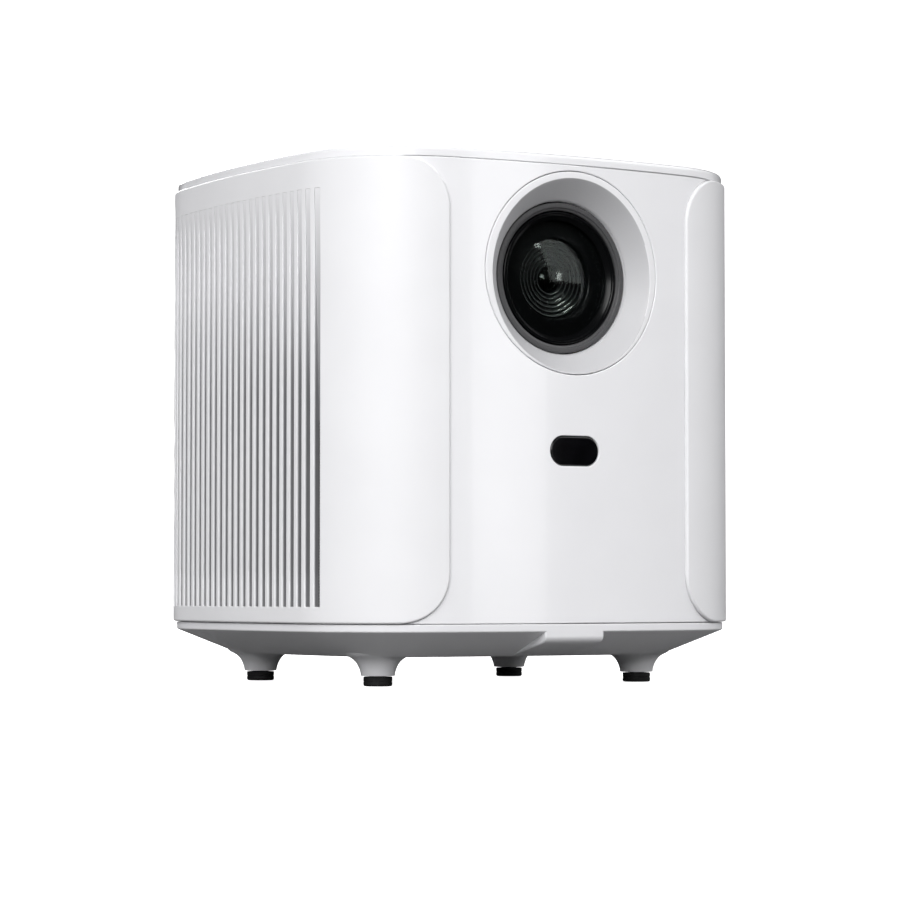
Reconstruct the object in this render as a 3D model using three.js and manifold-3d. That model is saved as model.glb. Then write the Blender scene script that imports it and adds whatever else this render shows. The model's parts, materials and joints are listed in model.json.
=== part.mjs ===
// Home projector: an upright case on four feet, with a forward lens, a vertical light path,
// a speaker behind each slotted side and an exhaust fan behind the rear grille.
// Millimetres. +Z is up, the lens looks along -Y, +X is to the right seen from the front.
// The origin is on the floor, under the middle of the case.
import * as THREE from 'three';
import { mergeVertices } from 'three/addons/utils/BufferGeometryUtils.js';
import Module from 'manifold-3d';

const wasm = await Module();
wasm.setup();

// ---- driving dimensions -------------------------------------------------------------

const GAP = 0.3; // between pieces that meet

// Plan outline of the case: four shallow arcs joined by corner arcs.
const WIDTH = 213;
const DEPTH = 207;
const FRONT_RADIUS = 425;
const SIDE_RADIUS = 480;
const CORNER_RADIUS = 52;

// Heights of the outer pieces.
const PLATE_BOTTOM = 12.2;
const BAND_BOTTOM = 22.8;
const BASE_TOP = 25.9;
const PANEL_BOTTOM = 26.2;
const PANEL_TOP = 215.7;
const CAP_BOTTOM = 216;
const CASE_TOP = 220;

// Walls.
const WALL = 2.5;
const STEP = 1.5; // front, rear, cap and base lie this far inside the side panels
const SEAM_X = 58.65; // where a side panel meets the front panel
const PANEL_CORNER = 20.5; // corner radius of the side panels, seen from the front
const CHAMFER_RUN = 26.5; // how far the underside slopes in

// Side slots.
const SLOT_COUNT = 25;
const SLOT_PITCH = 5.37;
const SLOT_WIDTH = 2.9;
const SLOT_BOTTOM = 33;
const SLOT_TOP = 204;
const SLOT_DEPTH = 5; // at the bottom end; it runs out to nothing at the top end

// Feet.
const FOOT_X = 65;
const FOOT_Y = 51.8;
const PAD_RADIUS = 6;
const PAD_HEIGHT = 4;
const PAD_STEM_RADIUS = 3.5; // the stem of each pad stands in a hole in its leg
const PAD_STEM_TOP = 8.8;

// Lens and its surround.
const LENS_Z = 169.8;
const BEZEL_Z = 171;
const BEZEL_RADIUS = 42.1;
const CONE_RADIUS = 40.4;
const LENS_RADIUS = 31.5;
const LENS_DEPTH = 10.3; // front of the lens housing behind the face of the case
const BORE_RADIUS = 28.2;
const PIN_Y = -67; // where the focus pins cross the housing at rest
const FOCUS_TRAVEL = 2.8; // each way
const FOCUS_TURN = 35; // degrees, each way

// Focus gears.
const GEAR_MODULE = 1.5;
const RING_TEETH = 48;
const PINION_TEETH = 8;
const PINION_ANGLE = 135; // degrees from straight up, towards +X
const GEAR_SPREAD = 0.25; // extra distance between the gear centres

// Sensor window.
const WINDOW_WIDTH = 24.1;
const WINDOW_HEIGHT = 12.5;
const WINDOW_Z = 97.2;

// Light engine.
const ENGINE_HALF_X = 43;
const ENGINE_HALF_Y = 35;
const ENGINE_BOTTOM = 72;
const ENGINE_TOP = 205;
const LCD_Z = 112;

// Cooling.
const EXHAUST_Z = 146;
const EXHAUST_SIZE = 80;
const INTAKE_Z = 96;
const INTAKE_SIZE = 60;
const PIPE_X = 12;
const PIPE_Z = 62.6;
const PIPE_Y = 54;

// Speakers.
const SPEAKER_Z = 89;
const SPEAKER_FACE = 99.5;
const SPEAKER_RADIUS = 33;

// Corner posts and the screws that hold them to the base.
const POST_X = 78;
const POST_Y = 70;
const SCREW_RADIUS = 1.5;
const SCREW_HEAD_RADIUS = 3;
const SCREW_SEAT = 20.3; // underside of the screw heads
const SCREW_HOLE_RADIUS = 1.9;

// Boards. Each board lies on four posts of the base.
const BOARD_Z = 30;
const BOARD_THICKNESS = 1.6;
const BOARD_POST_X = [-60, 60];
const BOARD_POST_Y = [-60, -14, 14, 60];

// Openings in the base.
const TRIPOD_RADIUS = 6;
const VENT_PITCH = 11;
const VENT_WIDTH = 3.2;
const VENT_FROM = 22;
const VENT_TO = 62;

// ---- finishes -----------------------------------------------------------------------

function finish(colour, roughness, metalness = 0) {
  return new THREE.MeshStandardMaterial({ color: colour, roughness, metalness });
}

const GLOSS_WHITE = finish(0xf2f1f4, 0.2);
const SATIN_WHITE = finish(0xf0f0f2, 0.45);
const BASE_WHITE = finish(0xe2e2e5, 0.5);
const GREY_RING = finish(0x4a4a4d, 0.45);
const BLACK_PLASTIC = finish(0x121213, 0.5);
const BLACK_GLOSS = finish(0x050505, 0.08);
const RUBBER = finish(0x101010, 0.8);
const GLASS = finish(0x20242a, 0.05);
const CLEAR = finish(0xdfe6ea, 0.1);
const MIRROR = finish(0xe8ecef, 0.03, 1);
const COPPER = finish(0xb87346, 0.35, 1);
const ALUMINIUM = finish(0xb4b7ba, 0.4, 1);
const STEEL = finish(0x9a9da0, 0.35, 1);
const BRASS = finish(0xb89a52, 0.35, 1);
const BOARD_GREEN = finish(0x1f5a3a, 0.5);
const PAPER_CONE = finish(0x2a2a2b, 0.85);
const CLOTH = finish(0x2c2c2e, 0.95);

// ---- solids -------------------------------------------------------------------------

function solidOf(source) {
  const geometry = source.clone();
  geometry.deleteAttribute('normal');
  geometry.deleteAttribute('uv');
  const merged = mergeVertices(geometry, 1e-4);
  const index = merged.index.array;
  const triangles = [];
  for (let i = 0; i < index.length; i += 3) {
    const [a, b, c] = [index[i], index[i + 1], index[i + 2]];
    if (a !== b && b !== c && c !== a) triangles.push(a, b, c);
  }
  const vertices = Float32Array.from(merged.attributes.position.array);
  const build = (list) => new wasm.Manifold(new wasm.Mesh({
    numProp: 3,
    vertProperties: vertices,
    triVerts: Uint32Array.from(list),
  }));
  const solid = build(triangles);
  if (solid.volume() > 0) return solid;
  return build(triangles.reverse());
}

function joined(first, ...others) {
  return others.reduce((sum, other) => sum.add(other), first);
}

function cut(body, ...tools) {
  return tools.reduce((rest, tool) => rest.subtract(tool), body);
}

function meshOf(name, solid, material) {
  const { vertProperties, triVerts, numProp } = solid.getMesh();
  const positions = new Float32Array((vertProperties.length / numProp) * 3);
  for (let i = 0; i < positions.length / 3; i += 1) {
    for (let k = 0; k < 3; k += 1) positions[i * 3 + k] = vertProperties[i * numProp + k];
  }
  const geometry = new THREE.BufferGeometry();
  geometry.setAttribute('position', new THREE.BufferAttribute(positions, 3));
  geometry.setIndex(new THREE.BufferAttribute(Uint32Array.from(triVerts), 1));
  geometry.computeVertexNormals();
  const mesh = new THREE.Mesh(geometry, material);
  mesh.name = name;
  return mesh;
}

// A box from its lowest to its highest corner.
function block([x0, y0, z0], [x1, y1, z1]) {
  const geometry = new THREE.BoxGeometry(x1 - x0, y1 - y0, z1 - z0);
  geometry.translate((x0 + x1) / 2, (y0 + y1) / 2, (z0 + z1) / 2);
  return solidOf(geometry);
}

const AXIS_TURN = {
  x: new THREE.Matrix4().makeRotationZ(-Math.PI / 2),
  y: new THREE.Matrix4(),
  z: new THREE.Matrix4().makeRotationX(Math.PI / 2),
};

// A round piece about an axis through a point; each profile entry is [radius, distance along].
function turned(profile, axis, [x, y, z], segments = 32) {
  const points = profile.map(([radius, along]) => new THREE.Vector2(radius, along));
  const geometry = new THREE.LatheGeometry(points, segments);
  geometry.applyMatrix4(AXIS_TURN[axis]);
  geometry.translate(x, y, z);
  return solidOf(geometry);
}

// A plain cylinder from one distance to another along its axis.
function rod(radius, from, to, axis, centre, segments = 24) {
  return turned([[0, from], [radius, from], [radius, to], [0, to]], axis, centre, segments);
}

// A ring with a rectangular section.
function collar(inner, outer, from, to, axis, centre, segments = 32) {
  const profile = [[inner, from], [outer, from], [outer, to], [inner, to], [inner, from]];
  return turned(profile, axis, centre, segments);
}

function shapeOf(points) {
  return new THREE.Shape(points.map(([x, y]) => new THREE.Vector2(x, y)));
}

// Each round corner of a shape is cut into twice as many straight pieces as curveSegments says.
function prism(shape, depth, curveSegments) {
  return new THREE.ExtrudeGeometry(shape, { depth, bevelEnabled: false, curveSegments });
}

function alongZ(shape, from, to, curveSegments = 2) {
  const geometry = prism(shape, to - from, curveSegments);
  geometry.translate(0, 0, from);
  return solidOf(geometry);
}

// The shape's x and y become X and Z.
function alongY(shape, from, to, curveSegments = 2) {
  const geometry = prism(shape, to - from, curveSegments);
  geometry.rotateX(Math.PI / 2);
  geometry.translate(0, to, 0);
  return solidOf(geometry);
}

// The shape's x and y become Y and Z.
function alongX(shape, from, to, curveSegments = 2) {
  const geometry = prism(shape, to - from, curveSegments);
  const basis = new THREE.Matrix4().makeBasis(
    new THREE.Vector3(0, 1, 0),
    new THREE.Vector3(0, 0, 1),
    new THREE.Vector3(1, 0, 0),
  );
  geometry.applyMatrix4(basis);
  geometry.translate(from, 0, 0);
  return solidOf(geometry);
}

// ---- case outline -------------------------------------------------------------------

const frontCentre = new THREE.Vector2(0, FRONT_RADIUS - DEPTH / 2);
const sideCentre = new THREE.Vector2(SIDE_RADIUS - WIDTH / 2, 0);

// Centre of the front left corner arc, tangent inside both the front and the side arc.
function cornerCentre() {
  const span = frontCentre.distanceTo(sideCentre);
  const fromFront = FRONT_RADIUS - CORNER_RADIUS;
  const fromSide = SIDE_RADIUS - CORNER_RADIUS;
  const along = (fromFront ** 2 - fromSide ** 2 + span ** 2) / (2 * span);
  const across = Math.sqrt(fromFront ** 2 - along ** 2);
  const direction = sideCentre.clone().sub(frontCentre).normalize();
  const normal = new THREE.Vector2(-direction.y, direction.x);
  const base = frontCentre.clone().addScaledVector(direction, along);
  const choices = [across, -across].map((step) => base.clone().addScaledVector(normal, step));
  return choices[0].y < choices[1].y ? choices[0] : choices[1];
}

const corner = cornerCentre();

function arcPoints(centre, radius, from, to, steps) {
  const points = [];
  for (let i = 0; i <= steps; i += 1) {
    const angle = from + ((to - from) * i) / steps;
    points.push([centre.x + radius * Math.cos(angle), centre.y + radius * Math.sin(angle)]);
  }
  return points;
}

// One quarter of the outline, from the middle of the front to the middle of the left side.
function quarterOutline(inset) {
  const frontEnd = Math.atan2(corner.y - frontCentre.y, corner.x - frontCentre.x);
  const sideEnd = Math.atan2(corner.y - sideCentre.y, corner.x - sideCentre.x);
  const sideTurn = sideEnd + 2 * Math.PI;
  const frontTurn = frontEnd + 2 * Math.PI;
  return [
    ...arcPoints(frontCentre, FRONT_RADIUS - inset, 1.5 * Math.PI, frontTurn, 3),
    ...arcPoints(corner, CORNER_RADIUS - inset, frontTurn, sideTurn, 8).slice(1),
    ...arcPoints(sideCentre, SIDE_RADIUS - inset, sideTurn, Math.PI, 3).slice(1),
  ];
}

function outline(inset) {
  const leftFront = quarterOutline(inset);
  const leftRear = leftFront.map(([x, y]) => [x, -y]).reverse().slice(1);
  const left = [...leftFront, ...leftRear];
  const right = left.map(([x, y]) => [-x, y]).reverse().slice(1, -1);
  return [...left, ...right].reverse();
}

// The X of the left side of the outline at a given Y.
function sideX(y) {
  const radius = SIDE_RADIUS;
  const onSide = sideCentre.x - Math.sqrt(radius ** 2 - y ** 2);
  const fromCorner = Math.abs(y) + corner.y;
  if (fromCorner <= 0) return onSide;
  const onCorner = corner.x - Math.sqrt(CORNER_RADIUS ** 2 - fromCorner ** 2);
  return Math.max(onSide, onCorner);
}

// The Y of the recessed rear face at a given X.
function rearFace(x) {
  return Math.sqrt((FRONT_RADIUS - STEP) ** 2 - x ** 2) - frontCentre.y;
}

const faceY = -(DEPTH / 2 - STEP);

function filled(inset, from, to) {
  return alongZ(shapeOf(outline(inset)), from, to);
}

function wall(outerInset, innerInset, from, to) {
  const shape = shapeOf(outline(outerInset));
  shape.holes.push(new THREE.Path(shapeOf(outline(innerInset)).getPoints()));
  return alongZ(shape, from, to);
}

// A rectangle with round corners, as a shape.
function roundedRectangle(x0, y0, x1, y1, radius) {
  const shape = new THREE.Shape();
  shape.absarc(x1 - radius, y0 + radius, radius, -Math.PI / 2, 0);
  shape.absarc(x1 - radius, y1 - radius, radius, 0, Math.PI / 2);
  shape.absarc(x0 + radius, y1 - radius, radius, Math.PI / 2, Math.PI);
  shape.absarc(x0 + radius, y0 + radius, radius, Math.PI, 1.5 * Math.PI);
  return shape;
}

// The space that a side panel takes, grown by a margin; its front and rear corners are round.
function sideZone(side, margin) {
  const far = 160;
  const near = SEAM_X - margin;
  const radius = PANEL_CORNER + margin;
  const shape = roundedRectangle(
    side > 0 ? near : -far,
    PANEL_BOTTOM - margin,
    side > 0 ? far : -near,
    PANEL_TOP + margin,
    radius,
  );
  return alongY(shape, -DEPTH, DEPTH, 4);
}

// ---- outer case ---------------------------------------------------------------------

// A tray body whose sides slope in to a flat bottom; it is cut level at the top.
function tray(outerInset, bottom, rise, run, top) {
  const shape = shapeOf(outline(outerInset + run));
  const geometry = new THREE.ExtrudeGeometry(shape, {
    depth: top - bottom,
    bevelEnabled: true,
    bevelThickness: rise,
    bevelSize: run,
    bevelSegments: 1,
  });
  geometry.translate(0, 0, bottom + rise);
  const level = block([-WIDTH, -DEPTH, bottom - 1], [WIDTH, DEPTH, top]);
  return solidOf(geometry).intersect(level);
}

function legSolid(x, y) {
  const bottom = PAD_HEIGHT + GAP;
  const profile = [
    [0, bottom], [7.4, bottom], [8.4, bottom + 4.2],
    [11.6, PLATE_BOTTOM], [11.6, PLATE_BOTTOM + 1], [0, PLATE_BOTTOM + 1],
  ];
  return turned(profile, 'z', [x, y, 0], 12);
}

const corners = [[-1, -1], [1, -1], [-1, 1], [1, 1]];
const cornerNames = ['front_left', 'front_right', 'rear_left', 'rear_right'];

// The moulded block that fills the slope under the middle of the front edge. It starts in front
// of the case, and the outline trims it.
function frontBoss() {
  const halfWidth = 14.5;
  const front = faceY - 3;
  const lowEdge = 20.4;
  const profile = shapeOf([
    [front, BASE_TOP - 1], [front, lowEdge], [faceY + 0.3, lowEdge - 0.1],
    [faceY + 1.7, lowEdge - 2], [faceY + 6, lowEdge - 3.3],
    [faceY + CHAMFER_RUN + 1, PLATE_BOTTOM],
    [faceY + CHAMFER_RUN + 1, PLATE_BOTTOM + 1.2], [faceY + 2, BASE_TOP - 1],
  ]);
  return alongX(profile, -halfWidth, halfWidth).intersect(filled(STEP, 0, BASE_TOP));
}

function basePan() {
  const rise = BAND_BOTTOM - PLATE_BOTTOM;
  const outer = tray(STEP, PLATE_BOTTOM, rise, CHAMFER_RUN, BASE_TOP);
  const hollow = tray(STEP + WALL, PLATE_BOTTOM + WALL, rise, CHAMFER_RUN, BASE_TOP + 1);
  let pan = cut(outer, hollow);
  const boardPosts = [];
  for (const x of BOARD_POST_X) {
    for (const y of BOARD_POST_Y) {
      boardPosts.push(rod(3, PLATE_BOTTOM + 1, BOARD_Z - GAP, 'z', [x, y, 0], 6));
    }
  }
  pan = joined(pan, frontBoss(), ...boardPosts);
  pan = pan.add(rod(TRIPOD_RADIUS + 3, PLATE_BOTTOM + 1, 24, 'z', [0, 0, 0], 12));
  pan = pan.subtract(rod(TRIPOD_RADIUS + GAP, PLATE_BOTTOM - 1, 25, 'z', [0, 0, 0], 12));
  for (const [sx, sy] of corners) {
    const post = [sx * POST_X, sy * POST_Y, 0];
    pan = pan.add(rod(6, 19, PANEL_BOTTOM, 'z', post, 10));
    pan = cut(
      pan,
      rod(SCREW_HOLE_RADIUS, 10, 30, 'z', post, 8),
      rod(SCREW_HEAD_RADIUS + 0.5, 10, SCREW_SEAT + GAP, 'z', post, 10),
    );
    pan = pan.add(legSolid(sx * FOOT_X, sy * FOOT_Y));
    const stemHole = [PAD_STEM_RADIUS + GAP, 0, PAD_STEM_TOP + 0.4];
    pan = pan.subtract(rod(...stemHole, 'z', [sx * FOOT_X, sy * FOOT_Y, 0], 8));
  }
  for (const i of [-3, -2, -1, 1, 2, 3]) {
    const left = i * VENT_PITCH - VENT_WIDTH / 2;
    const vent = roundedRectangle(left, VENT_FROM, left + VENT_WIDTH, VENT_TO, 1.5);
    pan = pan.subtract(alongZ(vent, PLATE_BOTTOM - 1, PLATE_BOTTOM + WALL + 1, 1));
  }
  return meshOf('base_pan', pan, BASE_WHITE);
}

function footPad(name, sx, sy) {
  const profile = [
    [0, 0], [PAD_RADIUS - 0.4, 0], [PAD_RADIUS, 0.4], [PAD_RADIUS, PAD_HEIGHT],
    [PAD_STEM_RADIUS, PAD_HEIGHT], [PAD_STEM_RADIUS, PAD_STEM_TOP], [0, PAD_STEM_TOP],
  ];
  return meshOf(name, turned(profile, 'z', [sx * FOOT_X, sy * FOOT_Y, 0], 12), RUBBER);
}

function baseScrew(name, sx, sy) {
  const head = SCREW_SEAT - 1.9;
  const tip = 34;
  const profile = [
    [0, head], [SCREW_HEAD_RADIUS, head], [SCREW_HEAD_RADIUS, SCREW_SEAT],
    [SCREW_RADIUS, SCREW_SEAT], [SCREW_RADIUS, tip], [0, tip],
  ];
  return meshOf(name, turned(profile, 'z', [sx * POST_X, sy * POST_Y, 0], 8), STEEL);
}

function cornerPost(name, sx, sy) {
  const place = [sx * POST_X, sy * POST_Y, 0];
  const post = cut(
    rod(5, PANEL_BOTTOM + GAP, 211, 'z', place, 12),
    rod(SCREW_HOLE_RADIUS, 20, 36, 'z', place, 8),
  );
  return meshOf(name, post, BLACK_PLASTIC);
}

function sidePanel(name, side) {
  let panel = wall(0, WALL + 0.3, PANEL_BOTTOM, PANEL_TOP).intersect(sideZone(side, 0));
  const middle = (SLOT_COUNT - 1) / 2;
  for (let i = 0; i < SLOT_COUNT; i += 1) {
    const y = (i - middle) * SLOT_PITCH;
    const surface = sideX(y);
    const profile = shapeOf([
      [surface - 4, SLOT_BOTTOM], [surface + SLOT_DEPTH, SLOT_BOTTOM],
      [surface, SLOT_TOP], [surface - 4, SLOT_TOP],
    ].map(([x, z]) => [-side * x, z]));
    panel = panel.subtract(alongY(profile, y - SLOT_WIDTH / 2, y + SLOT_WIDTH / 2));
  }
  return meshOf(name, panel, SATIN_WHITE);
}

function endPanelBlank(end) {
  const half = end < 0
    ? block([-WIDTH, -DEPTH, 0], [WIDTH, -DEPTH / 4, CASE_TOP])
    : block([-WIDTH, DEPTH / 4, 0], [WIDTH, DEPTH, CASE_TOP]);
  const blank = wall(STEP, STEP + WALL, PANEL_BOTTOM, PANEL_TOP).intersect(half);
  return cut(blank, sideZone(-1, GAP), sideZone(1, GAP));
}

function windowShape(margin) {
  const halfWidth = WINDOW_WIDTH / 2 + margin;
  const halfHeight = WINDOW_HEIGHT / 2 + margin;
  return roundedRectangle(
    -halfWidth, WINDOW_Z - halfHeight, halfWidth, WINDOW_Z + halfHeight, halfHeight - 0.01,
  );
}

function frontPanel() {
  const panel = cut(
    endPanelBlank(-1),
    rod(BEZEL_RADIUS + GAP, faceY - 4, faceY + 12, 'y', [0, 0, BEZEL_Z], 32),
    alongY(windowShape(0), faceY - 4, faceY + 8, 4),
  );
  return meshOf('front_panel', panel, GLOSS_WHITE);
}

function sensorWindow() {
  const lens = alongY(windowShape(-GAP), faceY - 4, faceY + 8, 4);
  return meshOf('sensor_window', lens.intersect(wall(STEP + 0.2, STEP + WALL, 80, 120)), BLACK_GLOSS);
}

// Exhaust grille: upright slots in a round field.
const GRILLE_RADIUS = 37;
const GRILLE_PITCH = 6.2;
const GRILLE_SLOT_WIDTH = 3.6;

// Sockets on the rear edge of the main board: centre X, width, height and bottom Z.
const SOCKETS = {
  power_inlet: { x: -46, width: 21, height: 14, bottom: 33 },
  hdmi_socket: { x: -16, width: 16.4, height: 6.8, bottom: 32 },
  usb_socket: { x: 10, width: 15, height: 7.6, bottom: 32 },
  audio_socket: { x: 32, width: 8, height: 8, bottom: 32 },
};

function rearPanel() {
  let panel = endPanelBlank(1);
  const slotsEachSide = 5;
  for (let i = -slotsEachSide; i <= slotsEachSide; i += 1) {
    const x = i * GRILLE_PITCH;
    const halfWidth = GRILLE_SLOT_WIDTH / 2;
    const halfHeight = Math.sqrt(GRILLE_RADIUS ** 2 - x ** 2);
    const slot = roundedRectangle(
      x - halfWidth, EXHAUST_Z - halfHeight, x + halfWidth, EXHAUST_Z + halfHeight, 1.7,
    );
    panel = panel.subtract(alongY(slot, DEPTH / 2 - 12, DEPTH / 2 + 2, 1));
  }
  for (const { x, width, height, bottom } of Object.values(SOCKETS)) {
    const hole = roundedRectangle(
      x - width / 2 - GAP, bottom - GAP, x + width / 2 + GAP, bottom + height + GAP, 0.6,
    );
    panel = panel.subtract(alongY(hole, DEPTH / 2 - 12, DEPTH / 2 + 2, 1));
  }
  return meshOf('rear_panel', panel, SATIN_WHITE);
}

// Power button, on a switch that stands on a small board hung under the top cover.
const BUTTON_Y = 62;
const BUTTON_RADIUS = 9;
const BUTTON_BOTTOM = 213.8;
const BUTTON_BOARD_BOTTOM = 206;
const HANGER_X = 13;

const SKIRT_BOTTOM = 213.6; // of the ring that hangs inside the top cover

function topCover() {
  const edge = 1.2;
  const geometry = new THREE.ExtrudeGeometry(shapeOf(outline(STEP + edge)), {
    depth: CASE_TOP - CAP_BOTTOM,
    bevelEnabled: true,
    bevelThickness: edge,
    bevelSize: edge,
    bevelSegments: 1,
  });
  geometry.translate(0, 0, CAP_BOTTOM - edge);
  const level = block([-WIDTH, -DEPTH, CAP_BOTTOM], [WIDTH, DEPTH, CASE_TOP + 1]);
  let cover = solidOf(geometry).intersect(level);
  cover = cover.add(wall(STEP + WALL + 0.5, STEP + WALL + 2.5, SKIRT_BOTTOM, CAP_BOTTOM + 1));
  const boardTop = BUTTON_BOARD_BOTTOM + BOARD_THICKNESS;
  for (const x of [-HANGER_X, HANGER_X]) {
    cover = cover.add(rod(2.2, boardTop + GAP, CAP_BOTTOM + 1, 'z', [x, BUTTON_Y, 0], 12));
  }
  cover = cover.subtract(rod(BUTTON_RADIUS + 0.4, 210, 222, 'z', [0, BUTTON_Y, 0], 20));
  return meshOf('top_cover', cover, GLOSS_WHITE);
}

function powerButton() {
  const flange = BUTTON_RADIUS + 1.5;
  const flangeBottom = BUTTON_BOTTOM + 0.4;
  const flangeTop = flangeBottom + 1.4;
  const profile = [
    [0, BUTTON_BOTTOM], [3, BUTTON_BOTTOM], [3, flangeBottom], [flange, flangeBottom],
    [flange, flangeTop], [BUTTON_RADIUS, flangeTop], [BUTTON_RADIUS, CASE_TOP],
    [BUTTON_RADIUS - 0.5, CASE_TOP + 0.4], [0, CASE_TOP + 0.4],
  ];
  return meshOf('power_button', turned(profile, 'z', [0, BUTTON_Y, 0], 20), SATIN_WHITE);
}

function buttonBoard() {
  const bottom = BUTTON_BOARD_BOTTOM;
  const top = bottom + BOARD_THICKNESS;
  const board = block([-16, BUTTON_Y - 9, bottom], [16, BUTTON_Y + 9, top]);
  const body = block([-3, BUTTON_Y - 3, top - 0.6], [3, BUTTON_Y + 3, top + 3.8]);
  const plunger = rod(1.7, top + 3.4, BUTTON_BOTTOM - 1.1, 'z', [0, BUTTON_Y, 0], 12);
  return meshOf('button_board', joined(board, body, plunger), BOARD_GREEN);
}

function tripodInsert() {
  const insert = collar(3.2, TRIPOD_RADIUS, PLATE_BOTTOM + 0.2, 23.8, 'z', [0, 0, 0], 12);
  return meshOf('tripod_insert', insert, BRASS);
}

// The cloth that backs the slots of one side.
function acousticCloth(name, side) {
  const x0 = side > 0 ? 60 : -WIDTH;
  const x1 = side > 0 ? WIDTH : -60;
  const zone = block([x0, -69, 30], [x1, 69, 200]);
  return meshOf(name, wall(WALL + 0.6, WALL + 1.4, 29, 201).intersect(zone), CLOTH);
}

// ---- lens ---------------------------------------------------------------------------

const lensFront = faceY + LENS_DEPTH;
const lensCentre = [0, 0, LENS_Z];

// The surround: round outside, with a cone cut in it that narrows to the lens.
function lensBezel() {
  const bezelCentre = [0, 0, BEZEL_Z];
  const below = block([-60, -DEPTH, 100], [60, 0, SKIRT_BOTTOM - GAP]);
  const body = joined(
    rod(BEZEL_RADIUS, faceY - 3, faceY + 6, 'y', bezelCentre, 32).intersect(filled(STEP, 100, CASE_TOP)),
    rod(BEZEL_RADIUS + 3.4, faceY + 5.3, faceY + 7.3, 'y', bezelCentre, 24).intersect(below),
    rod(36, faceY + 5, faceY + 13, 'y', lensCentre, 24),
  );
  const slope = (CONE_RADIUS - LENS_RADIUS - 0.5) / LENS_DEPTH;
  const cone = turned([
    [0, faceY - 5], [CONE_RADIUS + 5 * slope, faceY - 5],
    [LENS_RADIUS + 0.5, lensFront], [LENS_RADIUS + 0.5, faceY + 15], [0, faceY + 15],
  ], 'y', lensCentre, 32);
  return meshOf('lens_bezel', cut(body, cone), SATIN_WHITE);
}

// A direction around the lens axis, in degrees from straight up towards +X.
function around(degrees) {
  const angle = THREE.MathUtils.degToRad(degrees);
  return [Math.sin(angle), Math.cos(angle)];
}

// A round pin that points out from the lens axis.
function radialPin(radius, from, to, degrees, y, sides) {
  const geometry = new THREE.CylinderGeometry(radius, radius, to - from, sides);
  geometry.translate(0, (from + to) / 2, 0);
  geometry.rotateX(Math.PI / 2);
  geometry.rotateY(THREE.MathUtils.degToRad(degrees));
  geometry.translate(0, y, LENS_Z);
  return solidOf(geometry);
}

const PIN_RADIUS = 1.5;
const PIN_ANGLES = [0, 120, 240];
const RING_INNER = 30.4;

function lensHousing() {
  const rear = -ENGINE_HALF_Y - GAP;
  const profile = [
    [BORE_RADIUS + 0.8, lensFront], [LENS_RADIUS - 0.6, lensFront], [LENS_RADIUS, lensFront + 0.6],
    [LENS_RADIUS, -84], [RING_INNER - 0.4, -84], [RING_INNER - 0.4, rear - 4],
    [35, rear - 4], [35, rear], [BORE_RADIUS, rear], [BORE_RADIUS, lensFront + 0.8],
    [BORE_RADIUS + 0.8, lensFront],
  ];
  let housing = turned(profile, 'y', lensCentre, 24);
  const reach = FOCUS_TRAVEL + PIN_RADIUS + 0.6;
  for (const degrees of PIN_ANGLES) {
    const slot = new THREE.BoxGeometry(3.9, 2 * reach, 8);
    slot.translate(0, 0, 30);
    slot.rotateY(THREE.MathUtils.degToRad(degrees));
    slot.translate(0, PIN_Y, LENS_Z);
    housing = housing.subtract(solidOf(slot));
  }
  return meshOf('lens_housing', housing, GREY_RING);
}

// A gear outline centred on the origin. Phase is where its first tooth stands, in teeth.
function gearPoints(teeth, phase) {
  const pitchRadius = (teeth * GEAR_MODULE) / 2;
  const root = pitchRadius - 1.15 * GEAR_MODULE;
  const tip = pitchRadius + 0.85 * GEAR_MODULE;
  const halfAtPitch = (Math.PI * GEAR_MODULE) / 4 - 0.2;
  const lean = Math.tan(THREE.MathUtils.degToRad(20));
  const halfAt = (radius) => halfAtPitch - (radius - pitchRadius) * lean;
  const points = [];
  for (let i = 0; i < teeth; i += 1) {
    const middle = (2 * Math.PI * (i + phase)) / teeth;
    for (const [radius, side] of [[root, -1], [tip, -1], [tip, 1], [root, 1]]) {
      const angle = middle + (side * halfAt(radius)) / radius;
      points.push([radius * Math.sin(angle), radius * Math.cos(angle)]);
    }
  }
  return points.reverse();
}

function gear(teeth, phase, from, to, x, z) {
  return alongY(shapeOf(gearPoints(teeth, phase).map(([a, b]) => [a + x, b + z])), from, to);
}

const GEAR_FROM = -64;
const GEAR_TO = -58;

// The ring turns on the housing; its three helical grooves drive the pins of the cell.
function focusRing() {
  let ring = joined(
    rod(34, -76, GEAR_TO - 1, 'y', lensCentre, 28),
    gear(RING_TEETH, 0, GEAR_FROM, GEAR_TO, 0, LENS_Z),
  );
  ring = ring.subtract(rod(RING_INNER + 0.1, -80, -50, 'y', lensCentre, 28));
  const steps = 3;
  const cutter = (start, i) => {
    const turn = (i / steps) * (FOCUS_TURN + 1);
    const y = PIN_Y + (turn / FOCUS_TURN) * FOCUS_TRAVEL;
    return radialPin(PIN_RADIUS + 0.45, 28, 33.2, start - turn, y, 6);
  };
  for (const start of PIN_ANGLES) {
    for (let i = -steps; i < steps; i += 1) {
      const stretch = wasm.Manifold.hull([cutter(start, i), cutter(start, i + 1)]);
      ring = ring.subtract(stretch);
    }
  }
  return meshOf('focus_ring', ring, BLACK_PLASTIC);
}

const GLASS_RADIUS = 25;
const GLASS_THICKNESS = 2.5;
const GLASS_RISE = 3.6; // how far the middle of the front glass stands forward of its rim
const glassRim = lensFront + 3.9;
const RETAINER_RADIUS = 17.2; // round opening behind the front glass

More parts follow.
